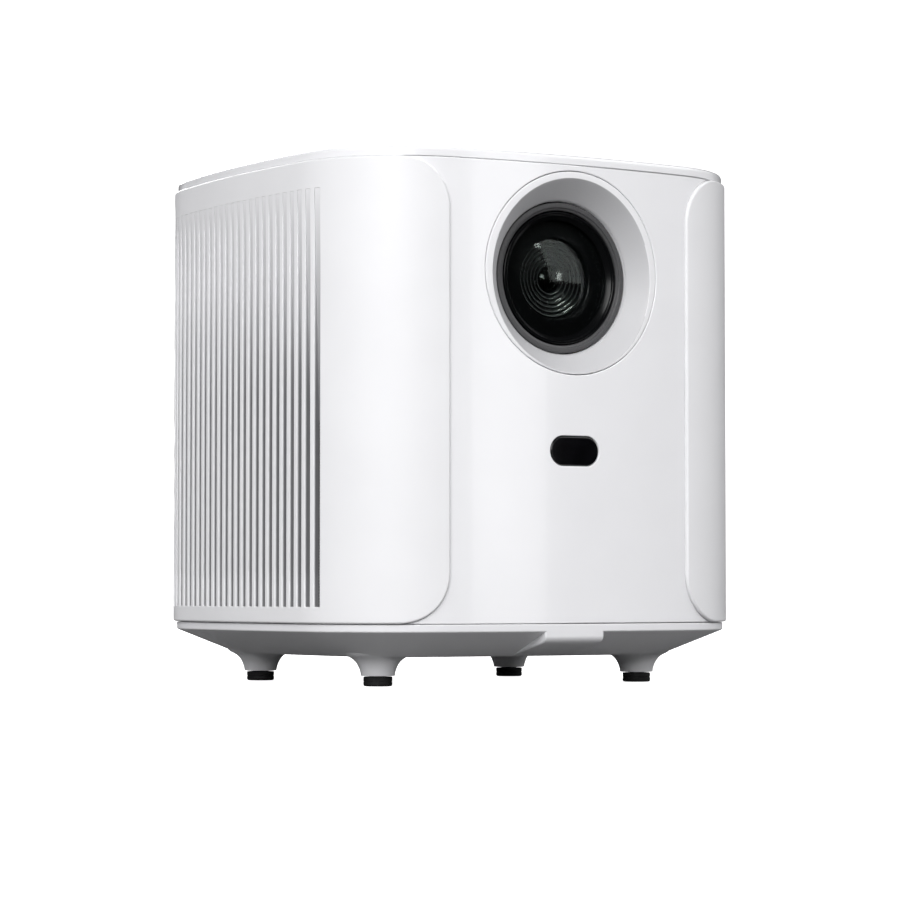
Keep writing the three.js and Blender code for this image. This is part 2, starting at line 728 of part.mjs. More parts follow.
// The cell slides in the housing and carries both glass elements.
function focusCell() {
  const outer = BORE_RADIUS - 0.5;
  const front = lensFront + 0.8;
  const seat = glassRim + 2.3;
  const lip = glassRim - 0.35;
  const bore = GLASS_RADIUS + 0.3;
  const profile = [
    [outer - 1.2, front], [outer, front + 0.5], [outer, -48], [22, -48], [22, -56],
    [15, -58], [15, seat + 5], [RETAINER_RADIUS, seat + 5],
    [RETAINER_RADIUS, seat - 1.25], [20.5, seat], [bore, seat], [bore, lip],
    [bore - 0.8, lip], [bore - 0.8, lip - 0.4], [outer - 1.2, front + 1.2],
    [outer - 1.2, front],
  ];
  let cell = turned(profile, 'y', lensCentre, 24);
  for (const degrees of PIN_ANGLES) {
    cell = cell.add(radialPin(PIN_RADIUS, 26, 32.6, degrees, PIN_Y, 8));
  }
  return meshOf('focus_cell', cell, BLACK_PLASTIC);
}

// Points of a spherical cap from its rim to its apex on the axis.
function domePoints(radius, rimY, apexY, steps) {
  const rise = apexY - rimY;
  const points = [];
  for (let i = 0; i <= steps; i += 1) {
    const r = radius * (1 - i / steps);
    points.push([r, rimY + rise * (1 - (r / radius) ** 2)]);
  }
  return points;
}

// A bowed disc of even thickness, held by its rim.
function frontGlass() {
  const back = glassRim + 2.2;
  const apex = glassRim - GLASS_RISE;
  const profile = [
    ...domePoints(GLASS_RADIUS, back, apex + GLASS_THICKNESS, 4).reverse(),
    ...domePoints(GLASS_RADIUS, glassRim, apex, 4),
  ];
  return meshOf('front_glass', turned(profile, 'y', lensCentre, 24), GLASS);
}

function rearGlass() {
  const profile = [
    ...domePoints(21.6, -50, -44.5, 3).reverse(),
    [21.6, -55.4],
    ...domePoints(14.6, -56.2, -59, 3),
  ];
  return meshOf('rear_glass', turned(profile, 'y', lensCentre, 16), GLASS);
}

const gearDistance = ((RING_TEETH + PINION_TEETH) * GEAR_MODULE) / 2 + GEAR_SPREAD;
const [pinionSide, pinionUp] = around(PINION_ANGLE);
const pinionX = pinionSide * gearDistance;
const pinionZ = LENS_Z + pinionUp * gearDistance;

function motorPinion() {
  const place = [pinionX, 0, pinionZ];
  const body = joined(
    gear(PINION_TEETH, 0.5, GEAR_FROM - 0.5, GEAR_TO + 0.5, pinionX, pinionZ),
    rod(1, GEAR_TO, -52, 'y', place, 10),
  );
  return meshOf('motor_pinion', body, BRASS);
}

function focusMotor() {
  const place = [pinionX, 0, pinionZ];
  const front = GEAR_TO + 2;
  const body = joined(
    rod(8, front, -40.5, 'y', place, 20),
    block([pinionX - 13, front, pinionZ - 4], [pinionX + 13, front + 1.2, pinionZ + 4]),
  );
  return meshOf('focus_motor', cut(body, rod(1.4, -60, -50, 'y', place, 12)), STEEL);
}

// ---- light engine -------------------------------------------------------------------

const LCD_HALF = [38, 27];
const plateLevels = [LCD_Z - 9, LCD_Z, LCD_Z + 9];
const SHELF_Z = 83;

function tilted(geometry, offset) {
  geometry.translate(0, 0, offset);
  geometry.rotateX(-Math.PI / 4);
  geometry.translate(0, 0, LENS_Z);
  return solidOf(geometry);
}

const MIRROR_THICKNESS = 2;

function engineHousing() {
  const [x, y] = [ENGINE_HALF_X, ENGINE_HALF_Y];
  const inX = x - WALL;
  const inY = y - WALL;
  let housing = cut(
    block([-x, -y, ENGINE_BOTTOM], [x, y, ENGINE_TOP]),
    block([-inX, -inY, ENGINE_BOTTOM + WALL], [inX, inY, ENGINE_TOP - WALL]),
    block([-26, -26, ENGINE_BOTTOM - 1], [26, 26, ENGINE_BOTTOM + WALL + 1]),
  );
  const shelf = block([-inX - 1, -inY - 1, SHELF_Z - 2], [inX + 1, inY + 1, SHELF_Z]);
  housing = housing.add(cut(shelf, rod(22, SHELF_Z - 3, SHELF_Z + 1, 'z', [0, 0, 0], 24)));
  housing = cut(
    housing,
    rod(26, -y - 1, -y + WALL + 1, 'y', lensCentre, 32),
    block([-30, -y - 1, LCD_Z - 7], [30, -y + WALL + 1, LCD_Z + 7]),
    block([-30, y - WALL - 1, LCD_Z - 7], [30, y + 1, LCD_Z + 7]),
  );
  for (const side of [-1, 1]) {
    const near = Math.min(side * (LCD_HALF[0] - 3), side * (inX + 1));
    const far = Math.max(side * (LCD_HALF[0] - 3), side * (inX + 1));
    for (const level of plateLevels) {
      const ledge = block([near, -28, level - 2.8], [far, 28, level - 1 - GAP]);
      housing = housing.add(ledge);
    }
    const rail = new THREE.BoxGeometry(inX + 1 - 30, 72, 3);
    rail.translate((side * (inX + 31)) / 2, 0, 0);
    housing = housing.add(tilted(rail, MIRROR_THICKNESS + GAP + 1.5));
  }
  return meshOf('engine_housing', housing, BLACK_PLASTIC);
}

function foldMirror() {
  const plate = new THREE.BoxGeometry(76, 80, MIRROR_THICKNESS);
  return meshOf('fold_mirror', tilted(plate, MIRROR_THICKNESS / 2), MIRROR);
}

function flatPlate(name, level, halfThickness, material) {
  const [x, y] = LCD_HALF;
  const bottom = level - 1;
  const plate = block([-x, -y, bottom], [x, y, bottom + 2 * halfThickness]);
  return meshOf(name, plate, material);
}

function condenserLens() {
  const bottom = SHELF_Z + GAP;
  const profile = [
    [0, bottom], [24, bottom], [24, bottom + 2], ...domePoints(23.6, bottom + 2, bottom + 11, 4),
  ];
  return meshOf('condenser_lens', turned(profile, 'z', [0, 0, 0], 16), CLEAR);
}

const PLATE_TOP = 67;

function ledModule() {
  const board = block([-20, -20, PLATE_TOP + GAP], [20, 20, PLATE_TOP + 2.2]);
  const emitter = block([-9, -9, PLATE_TOP + 2], [9, 9, PLATE_TOP + 3.4]);
  const dome = turned([
    [0, PLATE_TOP + 3], [7.5, PLATE_TOP + 3], ...domePoints(7.5, PLATE_TOP + 3.6, PLATE_TOP + 7, 3),
  ], 'z', [0, 0, 0], 12);
  return meshOf('led_module', joined(board, emitter, dome), ALUMINIUM);
}

// ---- cooling ------------------------------------------------------------------------

const PIPE_RADIUS = 3;

function heatPlate() {
  let plate = block([-32, -34, PLATE_TOP - 6], [32, 40, PLATE_TOP]);
  for (const x of [-PIPE_X, PIPE_X]) {
    const groove = PIPE_RADIUS + GAP + 0.1;
    plate = cut(
      plate,
      rod(groove, -31, 41, 'y', [x, 0, PIPE_Z], 16),
      block([x - groove, -31, PIPE_Z - 5], [x + groove, 41, PIPE_Z]),
    );
  }
  return meshOf('heat_plate', plate, COPPER);
}

function heatPipe(name, x) {
  const bend = 12;
  const path = new THREE.CurvePath();
  const start = new THREE.Vector3(x, -29, PIPE_Z);
  const beforeBend = new THREE.Vector3(x, PIPE_Y - bend, PIPE_Z);
  const elbow = new THREE.Vector3(x, PIPE_Y, PIPE_Z);
  const afterBend = new THREE.Vector3(x, PIPE_Y, PIPE_Z + bend);
  const end = new THREE.Vector3(x, PIPE_Y, EXHAUST_Z + 39);
  path.add(new THREE.LineCurve3(start, beforeBend));
  path.add(new THREE.QuadraticBezierCurve3(beforeBend, elbow, afterBend));
  path.add(new THREE.LineCurve3(afterBend, end));
  const section = shapeOf(arcPoints(new THREE.Vector2(), PIPE_RADIUS, 0, 2 * Math.PI, 8).slice(1));
  const geometry = new THREE.ExtrudeGeometry(section, { steps: 20, extrudePath: path });
  return meshOf(name, solidOf(geometry), COPPER);
}

function finStack() {
  const count = 9;
  const pitch = 9;
  const bottom = EXHAUST_Z - ((count - 1) / 2) * pitch;
  const front = PIPE_Y - 12;
  const rear = PIPE_Y + 13;
  let stack = joined(...[-1, 1].map((side) => {
    const x = side * 38;
    const near = Math.min(x, x - side);
    return block([near, front, bottom], [near + 1, rear, bottom + (count - 1) * pitch + 1]);
  }));
  for (let i = 0; i < count; i += 1) {
    const z = bottom + i * pitch;
    stack = stack.add(block([-37.5, front, z], [37.5, rear, z + 1]));
  }
  for (const x of [-PIPE_X, PIPE_X]) {
    stack = stack.subtract(rod(PIPE_RADIUS + GAP + 0.1, bottom - 2, 190, 'z', [x, PIPE_Y, 0], 8));
  }
  return meshOf('fin_stack', stack, ALUMINIUM);
}

// A square axial fan whose air goes along +Y: its frame, with the motor carried on three arms.
function fanFrame(name, size, from, to, centreZ) {
  const half = size / 2;
  const centre = [0, 0, centreZ];
  const throat = half - 1.8;
  let frame = alongY(
    roundedRectangle(-half, centreZ - half, half, centreZ + half, 4), from, to, 1,
  );
  frame = frame.subtract(rod(throat, from - 1, to + 1, 'y', centre, 20));
  const hub = size * 0.19;
  frame = frame.add(rod(hub, to - 3, to, 'y', centre, 12));
  for (let i = 0; i < 3; i += 1) {
    const arm = new THREE.BoxGeometry(throat + 1, 2.4, 3);
    arm.translate((throat + 1) / 2, 0, 0);
    arm.rotateY((i * 2 * Math.PI) / 3 + 0.5);
    arm.translate(0, to - 1.5, centreZ);
    frame = frame.add(solidOf(arm));
  }
  const boltCircle = half - 4.2;
  for (const [sx, sz] of corners) {
    const hole = [sx * boltCircle, 0, centreZ + sz * boltCircle];
    frame = frame.subtract(rod(1.8, from - 1, to + 1, 'y', hole, 6));
  }
  return meshOf(name, frame, BLACK_PLASTIC);
}

function fanRotor(name, size, from, to, centreZ) {
  const hub = size * 0.19;
  const tip = size / 2 - 3.2;
  const length = to - from;
  const pitch = 0.75; // radians that a blade leans out of the fan's plane
  const chord = (length - 2) / Math.sin(pitch);
  let rotor = rod(hub, from, to, 'y', [0, 0, centreZ], 16);
  for (let i = 0; i < 7; i += 1) {
    const blade = new THREE.BoxGeometry(tip - hub + 1.5, 1.2, chord);
    blade.rotateX(pitch);
    blade.translate((tip + hub - 1.5) / 2, 0, 0);
    blade.rotateY((i * 2 * Math.PI) / 7);
    blade.translate(0, (from + to) / 2, centreZ);
    rotor = rotor.add(solidOf(blade));
  }
  const sweep = rod(tip, from, to, 'y', [0, 0, centreZ], 24);
  return meshOf(name, rotor.intersect(sweep), BLACK_PLASTIC);
}

const EXHAUST_FROM = 70;
const EXHAUST_TO = 90;
const INTAKE_FROM = -52;
const INTAKE_TO = -37;

// ---- speakers -----------------------------------------------------------------------

// Profiles run from the face inwards; the side sets which way that is.
function speakerTurned(profile, side, segments) {
  const outward = profile.map(([r, depth]) => [r, side * (SPEAKER_FACE - depth)]);
  return turned(outward, 'x', [0, 0, SPEAKER_Z], segments);
}

function speakerFrame(name, side) {
  const profile = [
    [30, 0], [SPEAKER_RADIUS, 0], [SPEAKER_RADIUS, 3.3], [28.8, 3.3], [28.8, 5], [19, 19], [19, 30],
    [0, 30], [0, 17], [12, 17], [14, 15.5], [27.6, 4.2], [29.2, 2], [30, 0],
  ];
  return meshOf(name, speakerTurned(profile, side, 16), STEEL);
}

function speakerCone(name, side) {
  const profile = [
    [0, 4.6], [6, 5.8], [9.5, 9.6], [23, 3.4], [24.8, 2.2], [26.6, 3.2],
    [25, 3.6], [23.4, 4.6], [9.8, 11], [5.6, 6.9], [0, 5.6],
  ];
  return meshOf(name, speakerTurned(profile, side, 16), PAPER_CONE);
}

function speakerBox(name, side) {
  const face = SPEAKER_FACE - 3.3 - GAP;
  const back = 60;
  const span = (inner, outer) => (side > 0 ? [inner, outer] : [-outer, -inner]);
  const [x0, x1] = span(back, face);
  const [ix0, ix1] = span(back + WALL, face - WALL);
  const halfY = 42;
  const [low, high] = [SPEAKER_Z - 37, SPEAKER_Z + 37];
  const box = cut(
    block([x0, -halfY, low], [x1, halfY, high]),
    block([ix0, -halfY + WALL, low + WALL], [ix1, halfY - WALL, high - WALL]),
    rod(29.4, side * (face - 6), side * (face + 2), 'x', [0, 0, SPEAKER_Z], 16),
  );
  return meshOf(name, box, BLACK_PLASTIC);
}

// ---- boards and sockets -------------------------------------------------------------

const boardTop = BOARD_Z + BOARD_THICKNESS;

// A board with its parts standing on it: each part is [x0, y0, x1, y1, height].
function populatedBoard(low, high, parts) {
  const board = block([...low, BOARD_Z], [...high, boardTop]);
  const standing = parts.map(([x0, y0, x1, y1, height]) => (
    block([x0, y0, boardTop - 0.5], [x1, y1, boardTop + height])
  ));
  return joined(board, ...standing);
}

function mainBoard() {
  const parts = [
    [-12, 26, 12, 50, 7], [20, 26, 32, 36, 1.4], [20, 40, 32, 50, 1.4], [-34, 30, -22, 42, 1.4],
    [40, 20, 54, 30, 6], [-56, 20, -44, 34, 8], [40, 56, 50, 66, 5], [-40, 56, -30, 70, 3],
  ];
  const body = populatedBoard([-66, 6], [66, 84], parts);
  return meshOf('main_board', body, BOARD_GREEN);
}

function powerBoard() {
  let body = populatedBoard([-66, -72], [66, -6], [
    [-16, -46, 16, -16, 22], [24, -60, 44, -44, 14], [-46, -62, -26, -48, 12], [28, -34, 32, -12, 18],
  ]);
  for (const [x, y, radius] of [[-40, -28, 9], [-52, -48, 5], [46, -26, 5]]) {
    body = body.add(rod(radius, boardTop - 0.5, boardTop + 20, 'z', [x, y, 0], 20));
  }
  return meshOf('power_board', body, BOARD_GREEN);
}

function sensorBoard() {
  const y = faceY + WALL + 5;
  const board = block([-21, y, WINDOW_Z - 8], [21, y + BOARD_THICKNESS, WINDOW_Z + 8]);
  const camera = rod(4, y - 3.4, y + 0.5, 'y', [-6, 0, WINDOW_Z], 20);
  const receiver = block([4, y - 2.6, WINDOW_Z - 3], [10, y + 0.5, WINDOW_Z + 3]);
  return meshOf('sensor_board', joined(board, camera, receiver), BOARD_GREEN);
}

// A socket body whose mouth is cut in from the rear face.
function socketBody(key, depth, mouth) {
  const { x, width, height, bottom } = SOCKETS[key];
  const face = rearFace(Math.abs(x) + width / 2) - 0.4;
  const body = block([x - width / 2, face - depth, bottom], [x + width / 2, face, bottom + height]);
  return { x, face, middle: bottom + height / 2, solid: cut(body, mouth(x, face, bottom + height / 2)) };
}

function slotMouth(halfWidth, halfHeight, depth) {
  return (x, face, z) => block(
    [x - halfWidth, face - depth, z - halfHeight], [x + halfWidth, face + 1, z + halfHeight],
  );
}

function powerInlet() {
  const mouth = (x, face, z) => {
    const shape = roundedRectangle(x - 7.4, z - 4.1, x + 7.4, z + 4.1, 4);
    return alongY(shape, face - 12, face + 1);
  };
  const { x, face, middle, solid } = socketBody('power_inlet', 22, mouth);
  const pins = [-4.3, 4.3].map((offset) => (
    rod(1.2, face - 12.5, face - 2, 'y', [x + offset, 0, middle], 10)
  ));
  return meshOf('power_inlet', joined(solid, ...pins), BLACK_PLASTIC);
}

function hdmiSocket() {
  return meshOf('hdmi_socket', socketBody('hdmi_socket', 14, slotMouth(7.2, 2.4, 10)).solid, STEEL);
}

function usbSocket() {
  return meshOf('usb_socket', socketBody('usb_socket', 16, slotMouth(6.3, 2.7, 12)).solid, STEEL);
}

function audioSocket() {
  const mouth = (x, face, z) => rod(1.8, face - 11, face + 1, 'y', [x, 0, z], 16);
  return meshOf('audio_socket', socketBody('audio_socket', 13, mouth).solid, BLACK_PLASTIC);
}

// ---- assembly -----------------------------------------------------------------------

const projector = new THREE.Group();
projector.name = 'home_projector';
projector.add(
  basePan(),
  frontPanel(),
  rearPanel(),
  topCover(),
  powerButton(),
  buttonBoard(),
  tripodInsert(),
  sensorWindow(),
  sensorBoard(),
);
corners.forEach(([sx, sy], i) => {
  projector.add(
    footPad(`foot_pad_${cornerNames[i]}`, sx, sy),
    baseScrew(`base_screw_${cornerNames[i]}`, sx, sy),
    cornerPost(`corner_post_${cornerNames[i]}`, sx, sy),
  );
});
for (const [word, side] of [['left', -1], ['right', 1]]) {
  projector.add(
    sidePanel(`${word}_side_panel`, side),
    acousticCloth(`${word}_acoustic_cloth`, side),
    speakerBox(`${word}_speaker_box`, side),
    speakerFrame(`${word}_speaker_frame`, side),
    speakerCone(`${word}_speaker_cone`, side),
    heatPipe(`${word}_heat_pipe`, side * PIPE_X),
  );
}
projector.add(
  lensBezel(),
  lensHousing(),
  focusRing(),
  focusCell(),
  frontGlass(),
  rearGlass(),
  focusMotor(),
  motorPinion(),
  engineHousing(),
  foldMirror(),
  flatPlate('lower_fresnel', plateLevels[0], 0.75, CLEAR),
  flatPlate('lcd_panel', plateLevels[1], 1.1, BLACK_GLOSS),
  flatPlate('upper_fresnel', plateLevels[2], 0.75, CLEAR),
  condenserLens(),
  ledModule(),
  heatPlate(),
  finStack(),
  fanFrame('exhaust_fan_frame', EXHAUST_SIZE, EXHAUST_FROM, EXHAUST_TO, EXHAUST_Z),
  fanRotor('exhaust_fan_rotor', EXHAUST_SIZE, EXHAUST_FROM + 1, EXHAUST_TO - 4, EXHAUST_Z),
  fanFrame('intake_fan_frame', INTAKE_SIZE, INTAKE_FROM, INTAKE_TO, INTAKE_Z),
  fanRotor('intake_fan_rotor', INTAKE_SIZE, INTAKE_FROM + 1, INTAKE_TO - 4, INTAKE_Z),
  mainBoard(),
  powerBoard(),
  powerInlet(),
  hdmiSocket(),
  usbSocket(),
  audioSocket(),
);

export default projector;
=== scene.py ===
"""Home projector: visual model, floor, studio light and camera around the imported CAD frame."""

import json
import math

import bmesh
import bpy
import numpy as np
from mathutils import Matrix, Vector
from mathutils.geometry import delaunay_2d_cdt


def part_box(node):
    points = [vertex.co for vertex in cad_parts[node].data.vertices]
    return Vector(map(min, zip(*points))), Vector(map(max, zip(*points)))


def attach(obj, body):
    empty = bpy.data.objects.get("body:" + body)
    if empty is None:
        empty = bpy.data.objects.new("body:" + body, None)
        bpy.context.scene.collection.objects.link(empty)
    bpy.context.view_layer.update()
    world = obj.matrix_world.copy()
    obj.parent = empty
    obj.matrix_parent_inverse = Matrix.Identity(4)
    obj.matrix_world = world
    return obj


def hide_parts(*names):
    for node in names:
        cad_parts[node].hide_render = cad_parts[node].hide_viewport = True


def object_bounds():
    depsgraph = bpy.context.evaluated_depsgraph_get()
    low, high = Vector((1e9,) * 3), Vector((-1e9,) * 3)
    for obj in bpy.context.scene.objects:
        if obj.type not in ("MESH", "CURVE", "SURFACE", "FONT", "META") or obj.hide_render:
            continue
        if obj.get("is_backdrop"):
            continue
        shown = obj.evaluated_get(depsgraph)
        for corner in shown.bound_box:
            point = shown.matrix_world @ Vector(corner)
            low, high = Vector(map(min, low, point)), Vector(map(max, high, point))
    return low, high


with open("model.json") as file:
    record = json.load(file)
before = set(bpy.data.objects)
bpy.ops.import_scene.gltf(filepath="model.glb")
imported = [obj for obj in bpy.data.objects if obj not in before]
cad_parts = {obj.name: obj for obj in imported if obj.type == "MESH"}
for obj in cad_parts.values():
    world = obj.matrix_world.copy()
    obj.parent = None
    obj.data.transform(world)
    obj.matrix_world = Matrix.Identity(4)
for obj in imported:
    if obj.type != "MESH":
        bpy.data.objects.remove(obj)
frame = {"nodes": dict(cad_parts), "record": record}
cad_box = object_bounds()

# Meshes are made in millimetres and scaled when the object is made.
MM = 0.001


def box_mm(node):
    low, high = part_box(node)
    return np.array(low) / MM, np.array(high) / MM


# ---- driving dimensions ---------------------------------------------------------------

FRONT_RADIUS = 425
SIDE_RADIUS = 480
CORNER_RADIUS = 52
STEP = 1.5  # front, rear, lid and base lie this far inside the side panels
WALL = 2.5
GAP = 0.3
SEAM = 0.24  # how wide a seam between two panels looks
LID_SEAM = 0.1  # the seam under the lid, seen nearly edge on
PANEL_CORNER = 20.5
CHAMFER_RUN = 26.5
PLATE_Z = 12.2  # underside of the base
POST_X, POST_Y = 78, 70  # corner posts, each with a base screw below it

side_low, side_high = box_mm("left_side_panel")
front_low, _ = box_mm("front_panel")
_, cap_high = box_mm("top_cover")
housing_low, housing_high = box_mm("lens_housing")
glass_low, glass_high = box_mm("front_glass")
window_low, window_high = box_mm("sensor_window")
button_low, button_high = box_mm("power_button")

HALF_WIDTH = -side_low[0]
HALF_DEPTH = STEP - front_low[1]
FACE_Y = front_low[1]
SEAM_X = -side_high[0]
PANEL_BOTTOM, PANEL_TOP = side_low[2], side_high[2]
SIDE_THICKNESS = WALL + 0.3
LENS_Z = (glass_low[2] + glass_high[2]) / 2
LENS_FRONT = housing_low[1]

# ---- case outline ---------------------------------------------------------------------

front_centre = np.array([0, FRONT_RADIUS - HALF_DEPTH])
side_centre = np.array([SIDE_RADIUS - HALF_WIDTH, 0])


def corner_centre():
    """Centre of the front left corner arc, tangent inside both the front and the side arc."""
    span = np.linalg.norm(side_centre - front_centre)
    from_front = FRONT_RADIUS - CORNER_RADIUS
    from_side = SIDE_RADIUS - CORNER_RADIUS
    along = (from_front**2 - from_side**2 + span**2) / (2 * span)
    across = math.sqrt(from_front**2 - along**2)
    way = (side_centre - front_centre) / span
    normal = np.array([-way[1], way[0]])
    base = front_centre + along * way
    return min((base + across * normal, base - across * normal), key=lambda p: p[1])


corner = corner_centre()
FRONT_START = 1.5 * math.pi
CORNER_START = math.atan2(*(corner - front_centre)[::-1]) + 2 * math.pi
SIDE_START = math.atan2(*(corner - side_centre)[::-1]) + 2 * math.pi
FRONT_RUN = FRONT_RADIUS * (FRONT_START - CORNER_START)
CORNER_RUN = CORNER_RADIUS * (CORNER_START - SIDE_START)
QUARTER = FRONT_RUN + CORNER_RUN + SIDE_RADIUS * (SIDE_START - math.pi)


def plan(s, inset=0.0):
    """Points and outward normals of the outline, at arc length s from the middle of the front
    towards the left side and on round the case."""
    turn = np.mod(np.asarray(s, float), 4 * QUARTER)
    quadrant = np.minimum(turn // QUARTER, 3)
    t = np.where(quadrant % 2 == 0, turn - quadrant * QUARTER, (quadrant + 1) * QUARTER - turn)
    on_front = t <= FRONT_RUN
    on_corner = ~on_front & (t <= FRONT_RUN + CORNER_RUN)
    corner_angle = CORNER_START - (t - FRONT_RUN) / CORNER_RADIUS
    side_angle = SIDE_START - (t - FRONT_RUN - CORNER_RUN) / SIDE_RADIUS
    angle = np.where(
        on_front, FRONT_START - t / FRONT_RADIUS, np.where(on_corner, corner_angle, side_angle)
    )
    kinds = [on_front, on_corner]
    radius = np.select(kinds, [FRONT_RADIUS, CORNER_RADIUS], SIDE_RADIUS) - inset
    cx = np.select(kinds, [front_centre[0], corner[0]], side_centre[0])
    cy = np.select(kinds, [front_centre[1], corner[1]], side_centre[1])
    nx, ny = np.cos(angle), np.sin(angle)
    flip_x = np.where((quadrant == 2) | (quadrant == 3), -1.0, 1.0)
    flip_y = np.where((quadrant == 1) | (quadrant == 2), -1.0, 1.0)
    points = np.stack([(cx + radius * nx) * flip_x, (cy + radius * ny) * flip_y], -1)
    return points, np.stack([nx * flip_x, ny * flip_y], -1)


outline_table = np.linspace(0, QUARTER, 6001)


def front_s(x, inset=0.0):
    """Arc length of the point of the front half of the outline at a given X."""
    points, _ = plan(outline_table, inset)
    return -np.sign(x) * np.interp(np.abs(x), -points[:, 0], outline_table)


def rear_s(x, inset=0.0):
    return 2 * QUARTER - front_s(x, inset)


def left_s(y):
    """Arc length of the point of the left side at a given Y."""
    points, _ = plan(outline_table)
    reach = np.interp(-np.abs(y), points[:, 1], outline_table)
    return QUARTER + np.sign(y) * (QUARTER - reach)


def face_y(x):
    """Y of the front face at a given X."""
    return FACE_Y + FRONT_RADIUS - STEP - np.sqrt((FRONT_RADIUS - STEP) ** 2 - np.square(x))


# ---- making objects -------------------------------------------------------------------


def new_object(name, points, faces):
    mesh = bpy.data.meshes.new(name)
    mesh.from_pydata((np.asarray(points, float) * MM).tolist(), [], faces)
    mesh.update()
    obj = bpy.data.objects.new(name, mesh)
    bpy.context.scene.collection.objects.link(obj)
    return obj


def merged(*parts):
    points, faces, start = [], [], 0
    for part_points, part_faces in parts:
        points.append(np.asarray(part_points, float))
        faces += [[i + start for i in face] for face in part_faces]
        start += len(part_points)
    return np.concatenate(points), faces


def solid(name, *parts):
    """One object from closed shapes, with its faces turned outwards."""
    obj = new_object(name, *merged(*parts))
    bm = bmesh.new()
    bm.from_mesh(obj.data)
    bmesh.ops.recalc_face_normals(bm, faces=bm.faces)
    bm.to_mesh(obj.data)
    bm.free()
    return obj


def boolean(target, tool, operation):
    modifier = target.modifiers.new("boolean", "BOOLEAN")
    modifier.object = tool
    modifier.operation = operation
    modifier.solver = "EXACT"
    graph = bpy.context.evaluated_depsgraph_get()
    mesh = bpy.data.meshes.new_from_object(target.evaluated_get(graph))
    target.modifiers.clear()
    target.data = mesh
    bpy.data.objects.remove(tool)
    return target


def shade(obj, angle=32):
    """Smooth shading with sharp edges kept, weighted by face area so flat faces stay flat."""
    obj.data.shade_smooth()
    obj.data.set_sharp_from_angle(angle=math.radians(angle))
    modifier = obj.modifiers.new("normals", "WEIGHTED_NORMAL")
    modifier.keep_sharp = True
    modifier.weight = 80
    return obj


def ringed(rings, closed=True, capped=False):
    """Faces between rings of equal length. Closed joins the last ring to the first."""
    count = len(rings[0])
    points = np.concatenate(rings)
    faces = []
    pairs = len(rings) if closed else len(rings) - 1
    for r in range(pairs):
        a, b = r * count, ((r + 1) % len(rings)) * count
        for i in range(count):
            j = (i + 1) % count
            faces.append([a + i, a + j, b + j, b + i])
    if capped:
        faces.append(list(range(count)))
        faces.append([len(points) - count + i for i in range(count)])
    return points, faces


AXIS_PLACES = {
    "x": lambda a, b, along: (along, a, b),
    "y": lambda a, b, along: (a, along, b),
    "z": lambda a, b, along: (a, b, along),
}


def lathe(profile, axis, centre, segments=96):
    """A round solid. Each profile entry is (radius, distance along the axis)."""
    place = AXIS_PLACES[axis]
    angles = np.linspace(0, 2 * math.pi, segments, endpoint=False)
    points, rows = [], []
    for radius, along in profile:
        if radius < 1e-6:
            rows.append([len(points)])
            points.append(place(0, 0, along))
        else:
            rows.append(list(range(len(points), len(points) + segments)))
            points += [place(radius * math.sin(a), radius * math.cos(a), along) for a in angles]
    faces = []
    on_axis = len(rows[0]) == 1 and len(rows[-1]) == 1
    pairs = list(zip(rows, rows[1:]))
    if not on_axis:
        pairs.append((rows[-1], rows[0]))
    for a, b in pairs:
        if len(a) == 1 and len(b) == 1:
            continue
        for i in range(segments):
            j = (i + 1) % segments
            if len(a) == 1:
                faces.append([a[0], b[i], b[j]])
            elif len(b) == 1:
                faces.append([a[i], a[j], b[0]])
            else:
                faces.append([a[i], a[j], b[j], b[i]])
    return np.array(points) + np.array(centre), faces


def prism(outline, axis, start, end):
    """An outline of (a, b) points extruded along an axis."""
    place = AXIS_PLACES[axis]
    rings = [np.array([place(a, b, along) for a, b in outline]) for along in (start, end)]
    return ringed(rings, closed=False, capped=True)


def block(low, high):
    (x0, y0, z0), (x1, y1, z1) = low, high
    return prism([(x0, y0), (x1, y0), (x1, y1), (x0, y1)], "z", z0, z1)


def rounded_rectangle(low, high, radius, steps=6):
    (a0, b0), (a1, b1) = low, high
    centres = [
        (a1 - radius, b1 - radius), (a0 + radius, b1 - radius),
        (a0 + radius, b0 + radius), (a1 - radius, b0 + radius),
    ]
    points = []
    for quarter, (a, b) in enumerate(centres):
        for i in range(steps + 1):
            angle = math.radians(90 * (quarter + i / steps))
            points.append((a + radius * math.cos(angle), b + radius * math.sin(angle)))
    return np.array(points)


def fillet_profile(corner_point, start, end, radius, steps=4):
    """Points of a round corner: it leaves towards start's side and ends on end's side.
    start and end are unit directions from the corner along its two sides."""
    corner_point = np.array(corner_point, float)
    start, end = np.array(start, float), np.array(end, float)
    centre = corner_point + radius * (start + end)
    return [
        tuple(centre - radius * (end * math.cos(a) + start * math.sin(a)))
        for a in np.linspace(0, math.pi / 2, steps + 1)
    ]


def dome(radius, rim, apex, steps=12):
    """Profile points of a spherical cap from its rim to its apex on the axis."""
    rise = apex - rim
    sphere = (radius**2 + rise**2) / (2 * rise)
    half = math.asin(radius / abs(sphere))
    sign = math.copysign(1, rise)
    return [
        (abs(sphere) * math.sin(half * (1 - i / steps)),
         apex - sphere + sign * abs(sphere) * math.cos(half * (1 - i / steps)))
        for i in range(steps)
    ] + [(0, apex)]


# ---- curved panels --------------------------------------------------------------------

RIM_STEPS = 4


